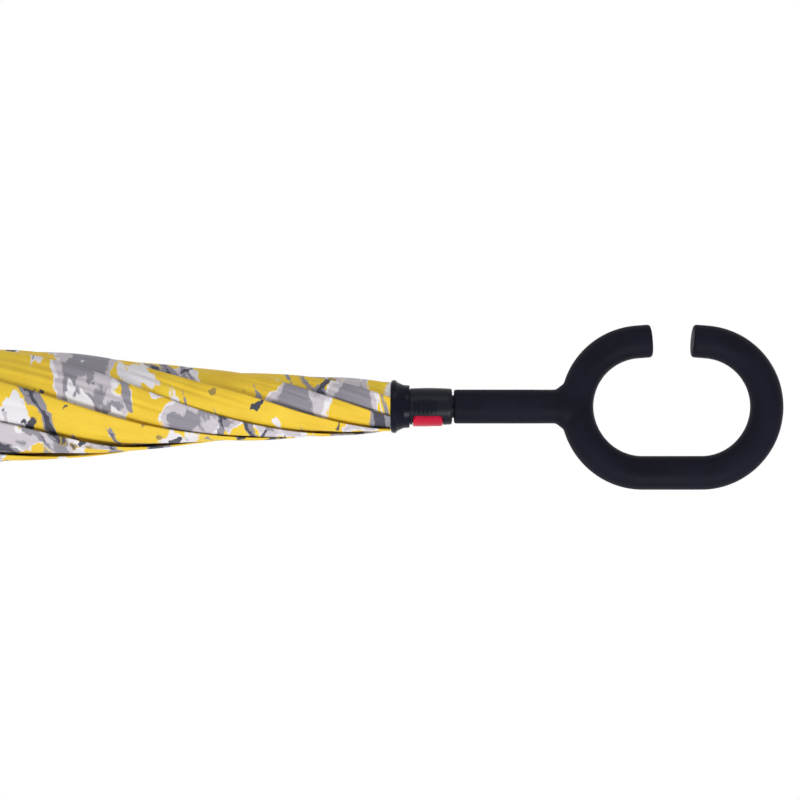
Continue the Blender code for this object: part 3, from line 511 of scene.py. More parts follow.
def between(
    x: float | np.ndarray, rows: Sequence[tuple[float, ...]], column: int
) -> np.ndarray:
    """Read a column of a table smoothly at a position of its first column."""
    xs = np.array([row[0] for row in rows])
    ys = np.array([row[column] for row in rows])
    slopes = np.gradient(ys, xs)
    x = np.clip(np.asarray(x, float), xs[0], xs[-1])
    k = np.clip(np.searchsorted(xs, x, side="right") - 1, 0, len(xs) - 2)
    h = xs[k + 1] - xs[k]
    t = (x - xs[k]) / h
    a = (2 * t**3 - 3 * t**2 + 1) * ys[k] + (t**3 - 2 * t**2 + t) * h * slopes[k]
    b = (-2 * t**3 + 3 * t**2) * ys[k + 1] + (t**3 - t**2) * h * slopes[k + 1]
    return a + b


def climb(x: np.ndarray, start: float, end: float) -> np.ndarray:
    """Rise evenly from 0 at the start to 1 at the end, and stay level outside."""
    return np.clip((x - start) / (end - start), 0.0, 1.0)


def smooth_field(
    azimuth: float | np.ndarray, x: np.ndarray, seed: int, waves: int = 14
) -> np.ndarray:
    """A soft random field round the bundle and along it, the same on each run.

    Args:
        azimuth: Angles round the shaft in radians.
        x: Distances below the collar in metres.
        seed: The random seed.
        waves: How many waves are added up.

    Returns:
        The field, from about -1 to 1.
    """
    rng = np.random.default_rng(seed)
    total = np.zeros(np.broadcast(azimuth, x).shape)
    for _ in range(waves):
        cycles = int(rng.integers(1, 7))
        pitch = rng.uniform(12.0, 60.0)
        lean = rng.uniform(0, 2 * math.pi)
        total = total + rng.uniform(0.4, 1.0) * np.sin(cycles * azimuth + pitch * x + lean)
    return total / math.sqrt(waves)


@dataclass(frozen=True)
class Hinge:
    """A joint of the frame, with the turn that opening the umbrella gives it."""

    point: Point
    axis: Point
    turn: float

    def matrix(self, share: float = 1.0) -> np.ndarray:
        """The hinge's motion at a share of its turn."""
        place = Matrix.Translation(self.point)
        spin = Matrix.Rotation(self.turn * share, 4, Vector(self.axis))
        return np.array(place @ spin @ place.inverted())


def joint(name: str) -> dict:
    """Find a joint of the frame by its name."""
    return next(entry for entry in frame["joints"] if entry["name"] == name)


def hinge_of(name: str) -> Hinge:
    """Read a coupled hinge and its turn at the runner's limit from the frame."""
    couplings = frame["record"]["behaviour"]["couplings"]
    ratio = next(entry["ratio"] for entry in couplings if entry["joint"] == name)
    found = joint(name)
    turn = ratio * joint("runner_slide")["range_m"][1]
    return Hinge(tuple(found["pos_m"]), tuple(found["axis"]), turn)


@dataclass(frozen=True)
class Gore(ABC):
    """One gore of cloth, as it was cut and as it lies in the folded umbrella."""

    gores: int = 8
    along: int = 230
    top_z: float = 0.5956
    length: float = 0.575
    hinge_radius: float = 0.008
    open_angle: float = math.radians(110.5)

    @property
    @abstractmethod
    def columns(self) -> np.ndarray:
        """Shares across the gore at which its vertices lie, from 0 to 1."""

    @abstractmethod
    def folded(self, index: int, u: np.ndarray, x: np.ndarray) -> np.ndarray:
        """Where each point of the cloth lies in the folded umbrella.

        Args:
            index: Which gore it is.
            u: Shares across the gore, 0 at its first rib and 1 at its second.
            x: Distances along the cloth from its clamped end in metres.

        Returns:
            The points, one row each.
        """

    @property
    def step(self) -> float:
        """The angle between two ribs."""
        return 2 * math.pi / self.gores

    def hem(self, u: np.ndarray) -> np.ndarray:
        """The cloth's length at a share across it, as a share of the whole length."""
        return np.ones_like(u)

    def flat_width(self, x: np.ndarray) -> np.ndarray:
        """The gore's cut width at a distance from its clamped end."""
        reach = self.hinge_radius + x * math.sin(self.open_angle)
        return 2 * reach * math.sin(self.step / 2)

    def flat_area(self) -> float:
        """The area of the cloth as it was cut."""
        share = np.linspace(0.0, 1.0, 201)
        depth = self.length * self.hem(share)
        strips = np.trapz(self.flat_width(depth[:, None] * share), share, axis=1) * depth
        return float(np.trapz(strips, share))


@dataclass(frozen=True)
class FoldedGore(Gore):
    """A printed gore: a flap that leaves the gap between two ribs and winds round them.

    The flap's two layers run from the first rib out to the fold and back to the second rib.
    Each row gives a distance below the collar in metres, the bundle's outer radius there in
    millimetres and how far the flap winds in degrees. Each run gives a share across the gore
    and how many columns lead up to it, closest together where the cloth shows.
    """

    splay: float = math.radians(2.0)
    pivot_z: float = 0.590
    cover: float = 0.0027
    spare_wind: float = 0.6
    swell: float = 0.014
    lean: float = 0.045
    gather: float = 0.35 * MM
    gather_fade: float = 0.04
    stray: float = 0.06
    ripples: int = 7
    ripple_height: float = 0.045
    edge_lift: float = 0.5
    runs: tuple[tuple[float, int], ...] = (
        (0.45, 16), (0.5, 8), (0.6, 36), (0.76, 18), (1.0, 14)
    )
    rows: tuple[tuple[float, ...], ...] = (
        (0.0, 14.0, 22.0),
        (0.02, 14.9, 50.0),
        (0.05, 16.4, 86.0),
        (0.1, 19.2, 134.0),
        (0.15, 25.0, 176.0),
        (0.204, 28.8, 212.0),
        (0.3, 33.0, 236.0),
        (0.4, 35.4, 240.0),
        (0.49, 36.8, 240.0),
        (0.575, 38.0, 240.0),
    )

    @property
    def columns(self) -> np.ndarray:
        """Shares across the gore, closest together where the cloth shows."""
        shares, low = [0.0], 0.0
        for high, count in self.runs:
            shares += [low + (high - low) * (i + 1) / count for i in range(count)]
            low = high
        return np.array(shares)

    def inner_radius(self, x: np.ndarray) -> np.ndarray:
        """The radius at which the flap starts, just outside the ribs."""
        below = x + (self.pivot_z - self.top_z)
        return self.hinge_radius + below * math.tan(self.splay) + self.cover

    def wind(
        self, half: np.ndarray, second: np.ndarray, wrap: np.ndarray, pitch: np.ndarray
    ) -> tuple[np.ndarray, np.ndarray]:
        """Wind the flap's two layers, which start at the two ribs and close at the fold.

        Args:
            half: Shares from a rib, 0, to the fold, 1.
            second: Which points lie in the layer that starts at the second rib.
            wrap: How far the flap winds, in radians.
            pitch: How far the flap climbs from one rib to the next.

        Returns:
            The angle from the first rib, and the climb from the start's radius.
        """
        start = np.where(second, self.step, 0.0)
        angle = start - (wrap + start) * half
        lead = start - angle
        ease = np.clip(lead / self.step, 0.0, 1.0)
        gap = 0.5 * pitch * ease**2 * (3 - 2 * ease)
        tip = np.clip((wrap + angle) / (0.12 * self.step), 0.0, 1.0)
        close = 0.25 * pitch * (1 - np.sqrt(tip * (2 - tip)))
        rise = pitch * lead / self.step
        return angle, np.where(second, rise - gap - close, rise + close)

    def folded(self, index: int, u: np.ndarray, x: np.ndarray) -> np.ndarray:
        """Where each point of the wound flap lies in the folded umbrella."""
        half = 1.0 - np.abs(2 * u - 1.0)
        wrap = np.radians(between(x, self.rows, 2))
        outside = between(x, self.rows, 1) * MM
        inside = self.inner_radius(x)
        pitch = (outside - inside) / (wrap / self.step + self.spare_wind)
        angle, rise = self.wind(half, u > 0.5, wrap, pitch)
        azimuth = angle + index * self.step
        shown = np.clip((wrap + angle) / self.step, 0.0, 1.0)
        stretch = climb(x, 0.0, 0.05)
        swell = smooth_field(azimuth, x, 5) * climb(x, 0.0, 0.15)
        lean = climb(x, 0.08, 0.18) * climb(x, 0.5, 0.35) * np.clip(-np.cos(azimuth), 0, 1)
        radius = (inside + rise) * (1.0 + self.swell * swell + self.lean * lean)
        gather = np.sin(5.0 * math.pi * shown + 40.0 * x + index) * np.sin(math.pi * shown)
        radius += self.gather * gather * np.exp(-x / self.gather_fade) * climb(x, 0.0, 0.004)
        radius += self.pleats(index, shown, x) * pitch * stretch
        edge = smooth_field(index, x, 31 + index, 6)
        azimuth = azimuth - self.stray * edge * half * stretch
        z = self.top_z - x
        return np.stack([radius * np.cos(azimuth), radius * np.sin(azimuth), z], axis=-1)

    def pleats(self, index: int, shown: np.ndarray, x: np.ndarray) -> np.ndarray:
        """How far the shown band of a flap stands out, with its loose pleats and wrinkles.

        Args:
            index: Which gore it is.
            shown: Shares of the shown band, from the fold's edge to the next flap's.
            x: Distances below the collar in metres.

        Returns:
            The height as a share of the flap's pitch.
        """
        drift = smooth_field(2.1 * index, x, 200 + index, 8)
        crease = np.clip(0.45 + 0.16 * drift, 0.2, 0.75)
        near = shown < crease
        part = np.where(near, shown / crease, (shown - crease) / (1.0 - crease))
        double = np.sin(math.pi * part) ** 0.7 * np.where(near, 0.5, 0.42)
        single = np.sin(math.pi * shown) ** 0.8 * 0.55
        fade = 0.5 + 0.5 * np.tanh(2.5 * smooth_field(index, x, 300 + index, 8) + 0.6)
        height = single + (double - single) * fade
        rng = np.random.default_rng(100 + index)
        for _ in range(self.ripples):
            count = rng.uniform(1.5, 5.0)
            drift_rate = rng.uniform(-90.0, 90.0)
            lean = rng.uniform(0, 2 * math.pi)
            wave = np.sin(count * shown * 2 * math.pi + drift_rate * x + lean)
            height = height + self.ripple_height * wave * np.sin(math.pi * shown)
        lift = 0.5 + np.clip(smooth_field(5 * index, x, 400 + index, 8), -0.6, 1.2)
        return height + self.edge_lift * lift * np.clip(1.0 - 2.2 * shown, 0.0, 1.0) ** 2


@dataclass(frozen=True)
class LiningGore(Gore):
    """One gore of the inner cloth, in close pleats between two stretchers.

    Its hem is cut in a scallop, so that the open canopy has room for the printed cloth.
    """

    along: int = 40
    top_z: float = 0.052
    length: float = 0.105
    open_angle: float = math.radians(61.0)
    pleat_count: int = 20
    pleat_steps: int = 6
    slope: float = math.radians(1.866)
    pivot_gap: float = 0.012
    side_step: float = 0.0028
    clear: float = 0.0014
    core: float = 0.0064
    mid_share: float = 0.686
    scallop: float = 3.0

    @property
    def columns(self) -> np.ndarray:
        """Shares across the gore, the same number in each pleat."""
        return np.linspace(0.0, 1.0, self.pleat_count * self.pleat_steps + 1)

    def hem(self, u: np.ndarray) -> np.ndarray:
        """The cloth's length at a share across it, short between the stretchers."""
        return self.mid_share + (1.0 - self.mid_share) * np.abs(2 * u - 1.0) ** self.scallop

    def folded(self, index: int, u: np.ndarray, x: np.ndarray) -> np.ndarray:
        """Where each point of the pleated cloth lies in the folded umbrella."""
        stretcher = self.hinge_radius + (x + self.pivot_gap) * math.tan(self.slope)
        rim = stretcher - self.clear
        arc = rim * self.step / self.pleat_count
        slant = self.flat_width(x) / self.pleat_count
        depth = np.minimum(np.sqrt(np.maximum(slant**2 - arc**2, 0.0)), rim - self.core)
        wave = 0.5 - 0.5 * np.cos(math.pi * self.pleat_count * u)
        radius = rim - depth * wave
        azimuth = np.arcsin(self.side_step / stretcher) + self.step * (u + index)
        z = self.top_z + x
        return np.stack([radius * np.cos(azimuth), radius * np.sin(azimuth), z], axis=-1)


@dataclass(frozen=True)
class ClothMaker:
    """Cuts, blends and folds the gores of one cloth layer."""

    shape: Gore
    side: Side
    arm: str
    arm_joint: str
    fan: str
    fan_joint: str
    solid: str
    slides: bool
    row_spread: float = 1.05
    share_steps: int = 40
    near: float = 1e-3
    print_across: float = 1.7
    print_along: float = 0.37

    def weights(self, index: int, points: np.ndarray, u: np.ndarray) -> np.ndarray:
        """Find how much of the fan's turn brings each point between its two ribs.

        Args:
            index: Which gore it is.
            points: The folded points.
            u: Each point's share across the gore.

        Returns:
            A share of the fan's turn for each point.
        """
        arm = hinge_of(f"{self.arm_joint}_{index + 1}").matrix()
        if self.slides:
            slide = joint("runner_slide")
            lower = Matrix.Translation(Vector(slide["axis"]) * slide["range_m"][1])
            arm = np.array(lower) @ arm
        fan = hinge_of(f"{self.fan_joint}_{index + 1}")
        plain = np.concatenate([points, np.ones((len(points), 1))], axis=1)
        row = len(self.shape.columns)
        seam = plain[::row] @ arm.T
        target = np.repeat(np.arctan2(seam[:, 1], seam[:, 0]), row) + self.shape.step * u
        best = np.zeros(len(points))
        error = np.full(len(points), np.inf)
        previous = None
        for share in np.linspace(0.0, 1.0, self.share_steps + 1):
            moved = plain @ (arm @ fan.matrix(share)).T
            turn = np.arctan2(moved[:, 1], moved[:, 0]) - target
            turn = (turn + math.pi) % (2 * math.pi) - math.pi
            if previous is not None:
                crossed = (previous <= 0) & (turn > 0) & (error > self.near)
                part = np.clip(-previous / np.where(turn == previous, 1, turn - previous), 0, 1)
                best = np.where(crossed, share - (1 - part) / self.share_steps, best)
                error = np.where(crossed, 0.0, error)
            closer = (np.abs(turn) < error) & (error > self.near)
            best = np.where(closer, share, best)
            error = np.where(closer, np.abs(turn), error)
            previous = turn
        return best

    def smooth_weights(self, weights: np.ndarray, rounds: int = 6) -> np.ndarray:
        """Even out the shares over the cloth's grid, with 0 and 1 kept at the seams."""
        grid = weights.reshape(self.shape.along + 1, -1)
        for _ in range(rounds):
            padded = np.pad(grid, 1, mode="edge")
            beside = padded[1:-1, :-2] + padded[1:-1, 2:]
            grid = (2 * padded[1:-1, 1:-1] + padded[:-2, 1:-1] + padded[2:, 1:-1] + beside) / 6
            grid[:, 0], grid[:, -1] = 0.0, 1.0
        return grid.reshape(-1)

    def gore(self, index: int, finish: Material) -> Object:
        """Make one gore: flat with its blend, then folded."""
        shape = self.shape
        spaced = shape.length * np.linspace(0.0, 1.0, shape.along + 1) ** self.row_spread
        u, x = (grid.reshape(-1) for grid in np.meshgrid(shape.columns, spaced))
        x = x * shape.hem(u)
        points = shape.folded(index, u, x)
        weights = self.smooth_weights(np.clip(self.weights(index, points, u), 0.0, 1.0))
        # The blend eases in and out, so this undoes the ease and leaves each point its weight.
        lay = 0.5 - np.sin(np.arcsin(np.clip(1.0 - 2.0 * weights, -1, 1)) / 3.0)
        flat = np.stack([lay, x, 0 * x], axis=-1)
        row = len(shape.columns)
        corners = [j * row + i for j in range(shape.along) for i in range(row - 1)]
        faces = [(a, a + row, a + row + 1, a + 1) for a in corners]
        piece = mesh_object(f"{self.side.value}_gore_{index + 1}", flat, faces, sharp_deg=80.0)
        self.lay_print(piece, index, u, x)
        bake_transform(piece)
        piece.data.vertices.foreach_set("co", points.astype(np.float32).ravel())
        piece.data.update()
        wear(piece, finish)
        return piece

    def lay_print(self, piece: Object, index: int, u: np.ndarray, x: np.ndarray) -> None:
        """Give the cloth its print coordinates in metres of the flat cut."""
        layer = piece.data.uv_layers.new(name="cloth")
        corners = np.empty(len(piece.data.loops), np.int32)
        piece.data.loops.foreach_get("vertex_index", corners)
        across = (u - 0.5) * self.shape.flat_width(x) + self.print_across * index
        coords = np.stack([across, x + self.print_along * index], axis=-1)[corners]
        layer.data.foreach_set("uv", coords.astype(np.float32).ravel())

    def build(self) -> None:
        shape, name = self.shape, f"{self.side.value}_cloth"
        finish = ClothFinish(name, self.side).build()
        area = shape.flat_area()
        wide = float(shape.flat_width(np.array(shape.length)))
        for index in range(shape.gores):
            piece = self.gore(index, finish)
            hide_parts(f"{self.solid}_{index + 1}")
        LOG.info("%s: %d gores of %.4f square metres", name, shape.gores, area)


@dataclass(frozen=True)
class LoopHandle:
    """The C-shaped loop and its stem, moulded in one piece with a soft-touch skin."""

    top: float = 0.8
    tube_radius: float = 0.0086
    loop_radius: float = 0.034
    straight: float = 0.0308
    mouth: float = 0.0212
    mouth_slope: float = math.radians(4.5)
    end_round: float = 0.0016
    round_steps: int = 8
    arc_steps: int = 90
    far_fuller: float = 0.0002
    far_shift: float = 0.0005
    near_shift: float = 0.0003
    stem_radius: float = 0.00885
    stem_low: float = 0.6286
    stem_round: float = 0.0008
    voxel: float = 0.0005
    soft_reach: float = 0.022
    soft_fade: float = 0.009
    all_rounds: int = 4
    joint_rounds: int = 22

    @property
    def low_centre(self) -> float:
        """The height of the lower arc's centre."""
        return self.top - self.tube_radius - self.loop_radius - self.straight

    @property
    def quarter(self) -> list[float]:
        """The steps of the quarter turn that rounds each end."""
        return [i / self.round_steps * math.pi / 2 for i in range(self.round_steps + 1)]

    def path(self) -> list[Point]:
        """The loop's centre line from the low end of its mouth to the high end."""
        high = self.top - self.tube_radius - self.loop_radius
        r = self.loop_radius
        sweep = math.pi - self.mouth_slope
        arc = [sweep * i / self.arc_steps for i in range(self.arc_steps + 1)]
        half = [(r * math.cos(turn), r * math.sin(turn)) for turn in arc]
        last_x, last_z = half[-1]
        for turn in reversed(self.quarter):
            z = self.mouth / 2 + self.end_round * (1 - math.cos(turn)) - self.straight / 2
            half.append((last_x - math.tan(self.mouth_slope) * (last_z - z), z))
        points = [(x, 0.0, self.low_centre - z) for x, z in half[::-1]]
        points += [(x, 0.0, high + z) for x, z in half]
        shifts = {True: self.far_shift, False: self.near_shift}
        return [(x + shifts[x > 0] * (x / r) ** 2, y, z) for x, y, z in points]

    def radii(self, path: list[Point]) -> list[float]:
        """The tube's radius at each point, fuller on its far side and rounded at both ends."""
        inset = self.tube_radius - self.end_round
        rise = [inset + self.end_round * math.sin(turn) for turn in self.quarter]
        fuller = [
            self.tube_radius + self.far_fuller * max(0.0, x / self.loop_radius)
            for x, _, _ in path[len(rise) : -len(rise)]
        ]
        return rise + fuller + rise[::-1]

    def stem(self, join_z: float) -> Object:
        """Skin the stem as ovals that widen in the loop's plane just below the loop."""
        r = self.stem_radius
        bottom = join_z - self.tube_radius
        foot = corner(r, self.stem_low, self.stem_round, -1)
        sections = [(half, half, z) for half, z in foot]
        sections += [
            (r, r, bottom - 0.0025),
            (r + 0.0004, r, bottom - 0.0018),
            (r + 0.0025, r, bottom + 0.0008),
            (r + 0.0032, r - 0.0001, bottom + 0.0036),
            (r + 0.0032, self.tube_radius - 0.0002, join_z),
        ]
        rings = [
            [(half_x * math.cos(turn), half_y * math.sin(turn), z) for turn in turns(96)]
            for half_x, half_y, z in sections
        ]
        return skin("handle", rings)

    def soften(self, handle: Object, middle: Vector) -> None:
        """Smooth the skin a little everywhere and more round the middle of the joint."""
        group = handle.vertex_groups.new(name="joint")
        for vertex in handle.data.vertices:
            share = (self.soft_reach - (vertex.co - middle).length) / self.soft_fade
            group.add([vertex.index], max(0.0, min(1.0, share)), "REPLACE")
        for weight, rounds in (("", self.all_rounds), ("joint", self.joint_rounds)):
            soften = handle.modifiers.new("soften", "SMOOTH")
            soften.factor = 0.5
            soften.iterations = rounds
            soften.vertex_group = weight
        apply_modifiers(handle)
        handle.data.shade_smooth()

    def build(self, finishes: dict[str, Material]) -> None:
        """Make and dress the handle, with a soft fillet where the stem meets the loop."""
        path = self.path()
        loop = tube("loop", path, self.radii(path), 64)
        join_z = self.low_centre - self.loop_radius
        handle = boolean(self.stem(join_z), loop, "UNION")
        remesh = handle.modifiers.new("skin", "REMESH")
        remesh.mode = "VOXEL"
        remesh.voxel_size = self.voxel
        remesh.use_smooth_shade = True
        self.soften(apply_modifiers(handle), Vector((0, 0, join_z - 0.004)))
        dress(handle, finishes, "soft_touch_black", "root", "handle_grip")
        LOG.info("handle: %d faces", len(handle.data.polygons))


@dataclass(frozen=True)
class Runner:
    """The sliding sleeve with its thumb ridges, its collar and the release button."""

    top: float = 0.6276
    low: float = 0.6058
    radius: float = 0.0097
    end_radius: float = 0.0094
    end_round: float = 0.0008
    barrel_steps: int = 12
    spigot: float = 0.0056
    spigot_radius: float = 0.0089
    bore: float = 0.0052
    counterbore: float = 0.0063
    counterbore_low: float = 0.6229
    turn: float = math.radians(-13.0)
    button_width: float = 0.0135
    button_length: float = 0.0154
    button_low: float = 0.0015
    button_face: float = 0.0104
    button_inner: float = 0.0083
    button_edge: float = 0.0006
    button_bevel: float = 0.0007
    button_room: float = 0.0003
    corner: float = 0.0022
    window_depth: float = 0.016
    pocket_inner: float = 0.0064
    pocket_outer: float = 0.0125
    plate_reach: float = 0.0075
    plate_room: float = 0.0011
    plate_travel: float = 0.0015
    ridge_count: int = 6
    ridge_steps: int = 24
    ridge_low: float = 0.0026
    ridge_pitch: float = 0.0021
    ridge_reach: float = 0.0042
    ridge_height: float = 0.00085
    ridge_half: float = 0.00055
    ridge_bury: float = 0.0001
    mark_low: float = 0.6218
    mark_high: float = 0.6252
    mark_wide: float = 0.0021
    mark_tip: float = 0.00006
    mark_rise: float = 0.00016
    mark_bury: float = 0.0006

    @property
    def button_mid(self) -> float:
        """The height of the button's middle."""
        return self.low + self.button_low + self.button_length / 2

    def barrel(self, share: float) -> float:
        """The sleeve's radius at a share of its length."""
        return self.end_radius + (self.radius - self.end_radius) * math.sin(math.pi * share)

    def barrel_at(self, z: float) -> float:
        """The sleeve's radius at a height."""
        return self.barrel((z - self.low) / (self.top - self.low))

    def turned(self, obj: Object) -> Object:
        """Turn a piece from the X axis to the button's side."""
        obj.data.transform(Matrix.Rotation(self.turn, 4, "Z"))
        return obj

    def sleeve(self) -> Object:
        """Make the sleeve with its pocket for the button and its slot for the latch plate."""
        edge, steps = self.end_round, self.barrel_steps
        span = self.top - self.low
        foot = self.low - self.spigot
        profile = corner(self.end_radius, self.top, edge)[:-1]
        profile += [
            (self.barrel(1 - i / steps), self.top - edge - (span - edge) * i / steps)
            for i in range(steps + 1)
        ]
        profile += [
            (self.spigot_radius, self.low),
            (self.spigot_radius, foot),
            (self.bore, foot),
            (self.bore, self.counterbore_low),
            (self.counterbore, self.counterbore_low),
            (self.counterbore, self.top),
        ]
        body = lathe("runner_sleeve", profile, 128)
        pocket = self.tablet("pocket", self.pocket_inner, self.pocket_outer, self.button_room)
        boolean(body, pocket, "DIFFERENCE")
        boolean(body, self.latch_slot(), "DIFFERENCE")
        return self.turned(shade(body, 35.0))

    def latch_slot(self) -> Object:
        """The slot in which the latch plate slides, as a long disc with room for its travel."""
        rings = []
        for z in (self.button_mid - self.plate_room, self.button_mid + self.plate_room):
            ring = []
            for turn in turns(64):
                x, y, _ = around(self.plate_reach, turn, z)
                ring.append((x + math.copysign(self.plate_travel / 2, math.cos(turn)), y, z))
            rings.append(ring)
        return skin("latch_slot", rings)

    def tablet(
        self, name: str, inner: float, outer: float, grow: float = 0.0, edge: float = 0.0
    ) -> Object:
        """Make the part of a ring behind a rectangle with round corners.

        Args:
            name: The object's name.
            inner: The ring's inner radius.
            outer: The ring's outer radius.
            grow: How far it reaches past the button on each side.
            edge: How far its outer edges are rounded.

        Returns:
            The tablet, on the side of the X axis.
        """
        half = self.button_length / 2 + grow
        low, high = self.button_mid - half, self.button_mid + half
        profile = [(inner, low), (inner, high)]
        profile += corner(outer, high, edge) + corner(outer, low, edge, -1)[::-1]
        ring = lathe(name, profile, 160)
        tools = bmesh.new()
        bmesh.ops.create_cube(tools, size=1.0)
        size = (self.window_depth, self.button_width + 2 * grow, 2 * half)
        bmesh.ops.scale(tools, vec=size, verts=tools.verts)
        deep = [line for line in tools.edges if line.verts[0].co.x * line.verts[1].co.x < 0]
        bmesh.ops.bevel(
            tools, geom=deep, offset=self.corner, segments=8, affect="EDGES", profile=0.5
        )
        middle = (self.window_depth / 2, 0, self.button_mid)
        bmesh.ops.translate(tools, vec=middle, verts=tools.verts)
        return boolean(ring, edited_object("window", tools), "INTERSECT")

    def ridge(self, side: int, index: int) -> Object:
        """Make one thumb ridge, a round bar sunk in the sleeve and closed at both ends."""
        z = self.low + self.ridge_low + index * self.ridge_pitch
        off = 2 * index / (self.ridge_count - 1) - 1
        span = math.asin(self.ridge_reach * math.sqrt(1 - off**2 / 2) / self.radius)
        base = self.barrel_at(z) - self.ridge_bury
        rings = []
        for part in (2 * i / self.ridge_steps - 1 for i in range(self.ridge_steps + 1)):
            turn = math.pi / 2 * side + span * part
            taper = max(0.05, math.sqrt(max(0.0, 1 - part**8)))
            high, half = taper * self.ridge_height, taper * self.ridge_half
            section = ((base + high * math.cos(a), z - half * math.sin(a)) for a in turns(12))
            rings.append([around(r, turn, height) for r, height in section])
        return skin(f"thumb_ridge_{'front' if side < 0 else 'back'}_{index + 1}", rings)

    def mark(self) -> Object:
        """Raise the small plain triangle beside the ridges, which points to the handle."""
        rows, columns = 8, 8
        rings = []
        for i in range(rows + 1):
            z = self.mark_low + (self.mark_high - self.mark_low) * i / rows
            half = max(self.mark_tip, self.mark_wide * (1 - i / rows)) / self.radius
            spread = [half * (2 * j / columns - 1) - math.pi / 2 for j in range(columns + 1)]
            ring = [around(self.barrel_at(z) + self.mark_rise, turn, z) for turn in spread]
            ring += [around(self.barrel_at(z) - self.mark_bury, turn, z) for turn in spread[::-1]]
            rings.append(ring)
        return skin("thumb_mark", rings)

    def collar(self) -> Object:
        """Make the flared collar with its bead and rolled rim."""
        top, low = 0.6056, 0.596
        rim, band, lip, throat, bore = 0.0138, 0.0111, 0.0129, 0.0103, 0.0092
        seat, edge, roll, shelf = 0.6002, 0.0003, 0.0018, 0.0007
        taper = [(0.0, band), (0.3, 0.0113), (0.55, 0.0119), (0.8, 0.0128), (1.0, rim)]
        flare_top, flare_span = top - 3 * edge, top - low - 3 * edge - 0.0024
        profile = corner(band, top, edge)
        profile += [
            (float(between(t, taper, 1)), flare_top - flare_span * t)
            for t in np.linspace(0.0, 1.0, 17)
        ]
        profile += [
            (rim - shelf * (1 - math.cos(a)), low + roll * (1 - math.sin(a)))
            for a in np.linspace(0.0, math.pi / 2, 8)
        ]
        profile += [(lip, low + 0.0002), (lip, low + roll), (throat, seat)]
        return lathe("collar", profile + [(bore, seat), (bore, top)], 160, 30.0)

    def button(self) -> Object:
        """Make the red button with rounded corners and edges."""
        made = self.tablet("button", self.button_inner, self.button_face, edge=self.button_edge)
        bevel = made.modifiers.new("edge", "BEVEL")
        bevel.width = self.button_bevel
        bevel.segments = 5
        bevel.limit_method = "ANGLE"
        bevel.angle_limit = math.radians(40.0)
        return self.turned(shade(apply_modifiers(made), 40.0))

    def build(self, finishes: dict[str, Material]) -> None:
        """Make and dress the sleeve, its ridges and mark, the collar and the button."""
        dress(self.sleeve(), finishes, "moulded_black", "runner", "runner_body")
        for side in (-1, 1):
            for index in range(self.ridge_count):
                dress(self.ridge(side, index), finishes, "moulded_black", "runner")
        dress(self.mark(), finishes, "moulded_black", "runner")
        dress(self.collar(), finishes, "gloss_black", "runner", "runner_collar")
        dress(self.button(), finishes, "button_red", "button", "release_button")
        LOG.info("runner done")


@dataclass(frozen=True)
class Lamp:
    """One soft square lamp."""

    name: str
    place: Point
    size: float
    power: float

    def hang(self, aim: Point) -> None:
        """Hang the lamp at its place, aimed at a point."""
        data = bpy.data.lights.new(self.name, "AREA")
        data.size = self.size
        data.energy = self.power
        obj = link(bpy.data.objects.new(self.name, data))
        obj.location = self.place
        way = Vector(aim) - Vector(self.place)
        obj.rotation_euler = way.to_track_quat("-Z", "Y").to_euler()


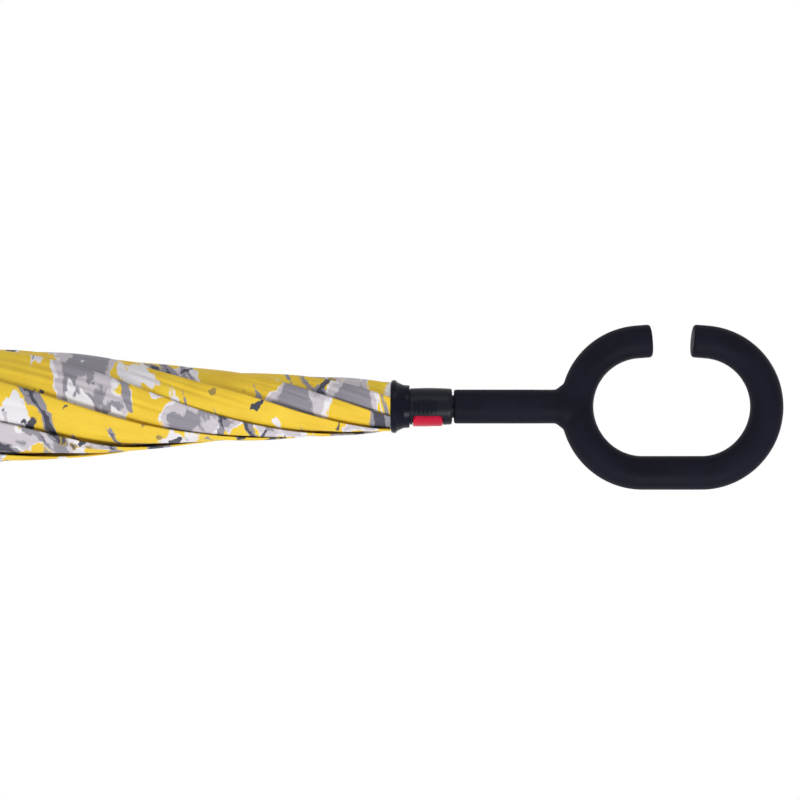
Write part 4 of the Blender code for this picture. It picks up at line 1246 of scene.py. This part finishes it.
@dataclass(frozen=True)
class Studio:
    """The floor, the backdrop, the lamps and the camera."""

    middle: Point = (-0.0034, 0.0, 0.6006)
    distance: float = 1.156
    lens: float = 100.0
    floor_radius: float = 1.8
    floor_z: float = -0.0005
    floor_tone: float = 0.86
    floor_glow: float = 0.56
    world_light: float = 0.4
    aim: Point = (0.0, 0.0, 0.55)
    lamps: tuple[Lamp, ...] = (
        Lamp("key", (1.1, -1.1, 1.0), 0.6, 16.0),
        Lamp("fill", (-1.3, -1.0, 0.6), 0.8, 5.0),
        Lamp("back", (0.0, 1.4, 1.2), 1.2, 8.0),
    )

    def camera(self) -> None:
        """Place the camera at the photograph's angle, rolled so the shaft lies level."""
        data = bpy.data.cameras.new("camera")
        data.lens = self.lens
        data.sensor_width = 36.0
        obj = link(bpy.data.objects.new("camera", data))
        roll = Matrix(((0, -1, 0), (0, 0, -1), (1, 0, 0))).to_4x4()
        place = (self.middle[0], -self.distance, self.middle[2])
        obj.matrix_world = Matrix.Translation(place) @ roll
        bpy.context.scene.camera = obj

    def plain(self, name: str) -> Material:
        """A white surface that looks white to the camera and still takes the shadow."""
        sh = Shader(name)
        inputs = {
            "Base Color": (self.floor_tone, self.floor_tone, self.floor_tone, 1.0),
            "Roughness": 0.9,
            "Specular IOR Level": 0.1,
            "Emission Color": (1.0, 1.0, 1.0, 1.0),
            "Emission Strength": sh.math("MULTIPLY", sh.seen(), self.floor_glow),
        }
        sh.feed(sh.main, inputs)
        return sh.material

    def floor(self) -> None:
        """Make the pale floor under the rib tips."""
        tools = bmesh.new()
        bmesh.ops.create_circle(tools, cap_ends=True, segments=96, radius=self.floor_radius)
        bmesh.ops.translate(tools, vec=(0, 0, self.floor_z), verts=tools.verts)
        obj = edited_object("floor", tools)
        wear(obj, self.plain("floor_white"))

    def world(self) -> None:
        """Light the scene softly from a world that looks white itself."""
        world = bpy.data.worlds.new("world")
        bpy.context.scene.world = world
        world.use_nodes = True
        tree = Tree(world.node_tree)
        grounds = (tree.nodes["Background"], tree.add("ShaderNodeBackground"))
        for ground, strength in zip(grounds, (self.world_light, 1.0)):
            tree.feed(ground, {"Color": (1.0, 1.0, 1.0, 1.0), "Strength": strength})
        light, white = (ground.outputs[0] for ground in grounds)
        mix = tree.add("ShaderNodeMixShader", {0: tree.seen(), 1: light, 2: white})
        tree.feed(tree.nodes["World Output"], {"Surface": mix.outputs[0]})

    def build(self) -> None:
        """Set up the whole studio."""
        self.camera()
        self.floor()
        self.world()
        for lamp in self.lamps:
            lamp.hang(self.aim)
        bpy.context.scene.view_settings.view_transform = "Standard"
        LOG.info("studio: camera at %.3f m", self.distance)


def build_finishes() -> dict[str, Material]:
    """Make the hard pieces' finishes, each under the name of its material slot."""
    finishes = (
        MouldedFinish(
            "soft_touch_black", (0.0085, 0.0085, 0.016), 0.55,
            grain_scale=5000.0, grain_depth=0.00003, shine=0.05,
        ),
        MouldedFinish("moulded_black", (0.008, 0.009, 0.016), 0.36, shine=0.1),
        MouldedFinish(
            "gloss_black", (0.004, 0.005, 0.012), 0.24,
            grain_scale=900.0, spread=0.05, coat=0.03, shine=0.06,
        ),
        MouldedFinish(
            "button_red", (0.52, 0.002, 0.034), 0.22,
            grain_scale=3000.0, grain_depth=0.00001, spread=0.05, coat=0.1, shine=0.15,
        ),
        MetalFinish("steel", (0.56, 0.56, 0.58), 0.3),
        MouldedFinish("glass_fibre", (0.02, 0.02, 0.022), 0.35),
    )
    return {finish.name: finish.build() for finish in finishes}


def dress_nodes(finishes: dict[str, Material]) -> None:
    """Give the CAD nodes that stay their finishes."""
    replaced = ("handle_grip", "runner_body", "runner_collar", "release_button")
    for entry in frame["record"]["subparts"]:
        name, slot = entry["node"], entry["material_slot"]
        if slot in finishes and name not in replaced:
            wear(frame["nodes"][name], finishes[slot])


def main() -> None:
    """Build and dress the umbrella."""
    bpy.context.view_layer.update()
    Studio().build()
    finishes = build_finishes()
    LoopHandle().build(finishes)
    Runner().build(finishes)
    ClothMaker(
        FoldedGore(), Side.PRINTED, arm="rib", arm_joint="rib_hinge", fan="gore",
        fan_joint="gore_fan", solid="canopy_gore", slides=True,
    ).build()
    ClothMaker(
        LiningGore(), Side.LINING, arm="stretcher", arm_joint="stretcher_hinge", fan="inner",
        fan_joint="inner_fan", solid="inner_gore", slides=False,
    ).build()
    dress_nodes(finishes)


if __name__ == "__main__":
    logging.basicConfig(level=logging.INFO, format="%(message)s")
    main()
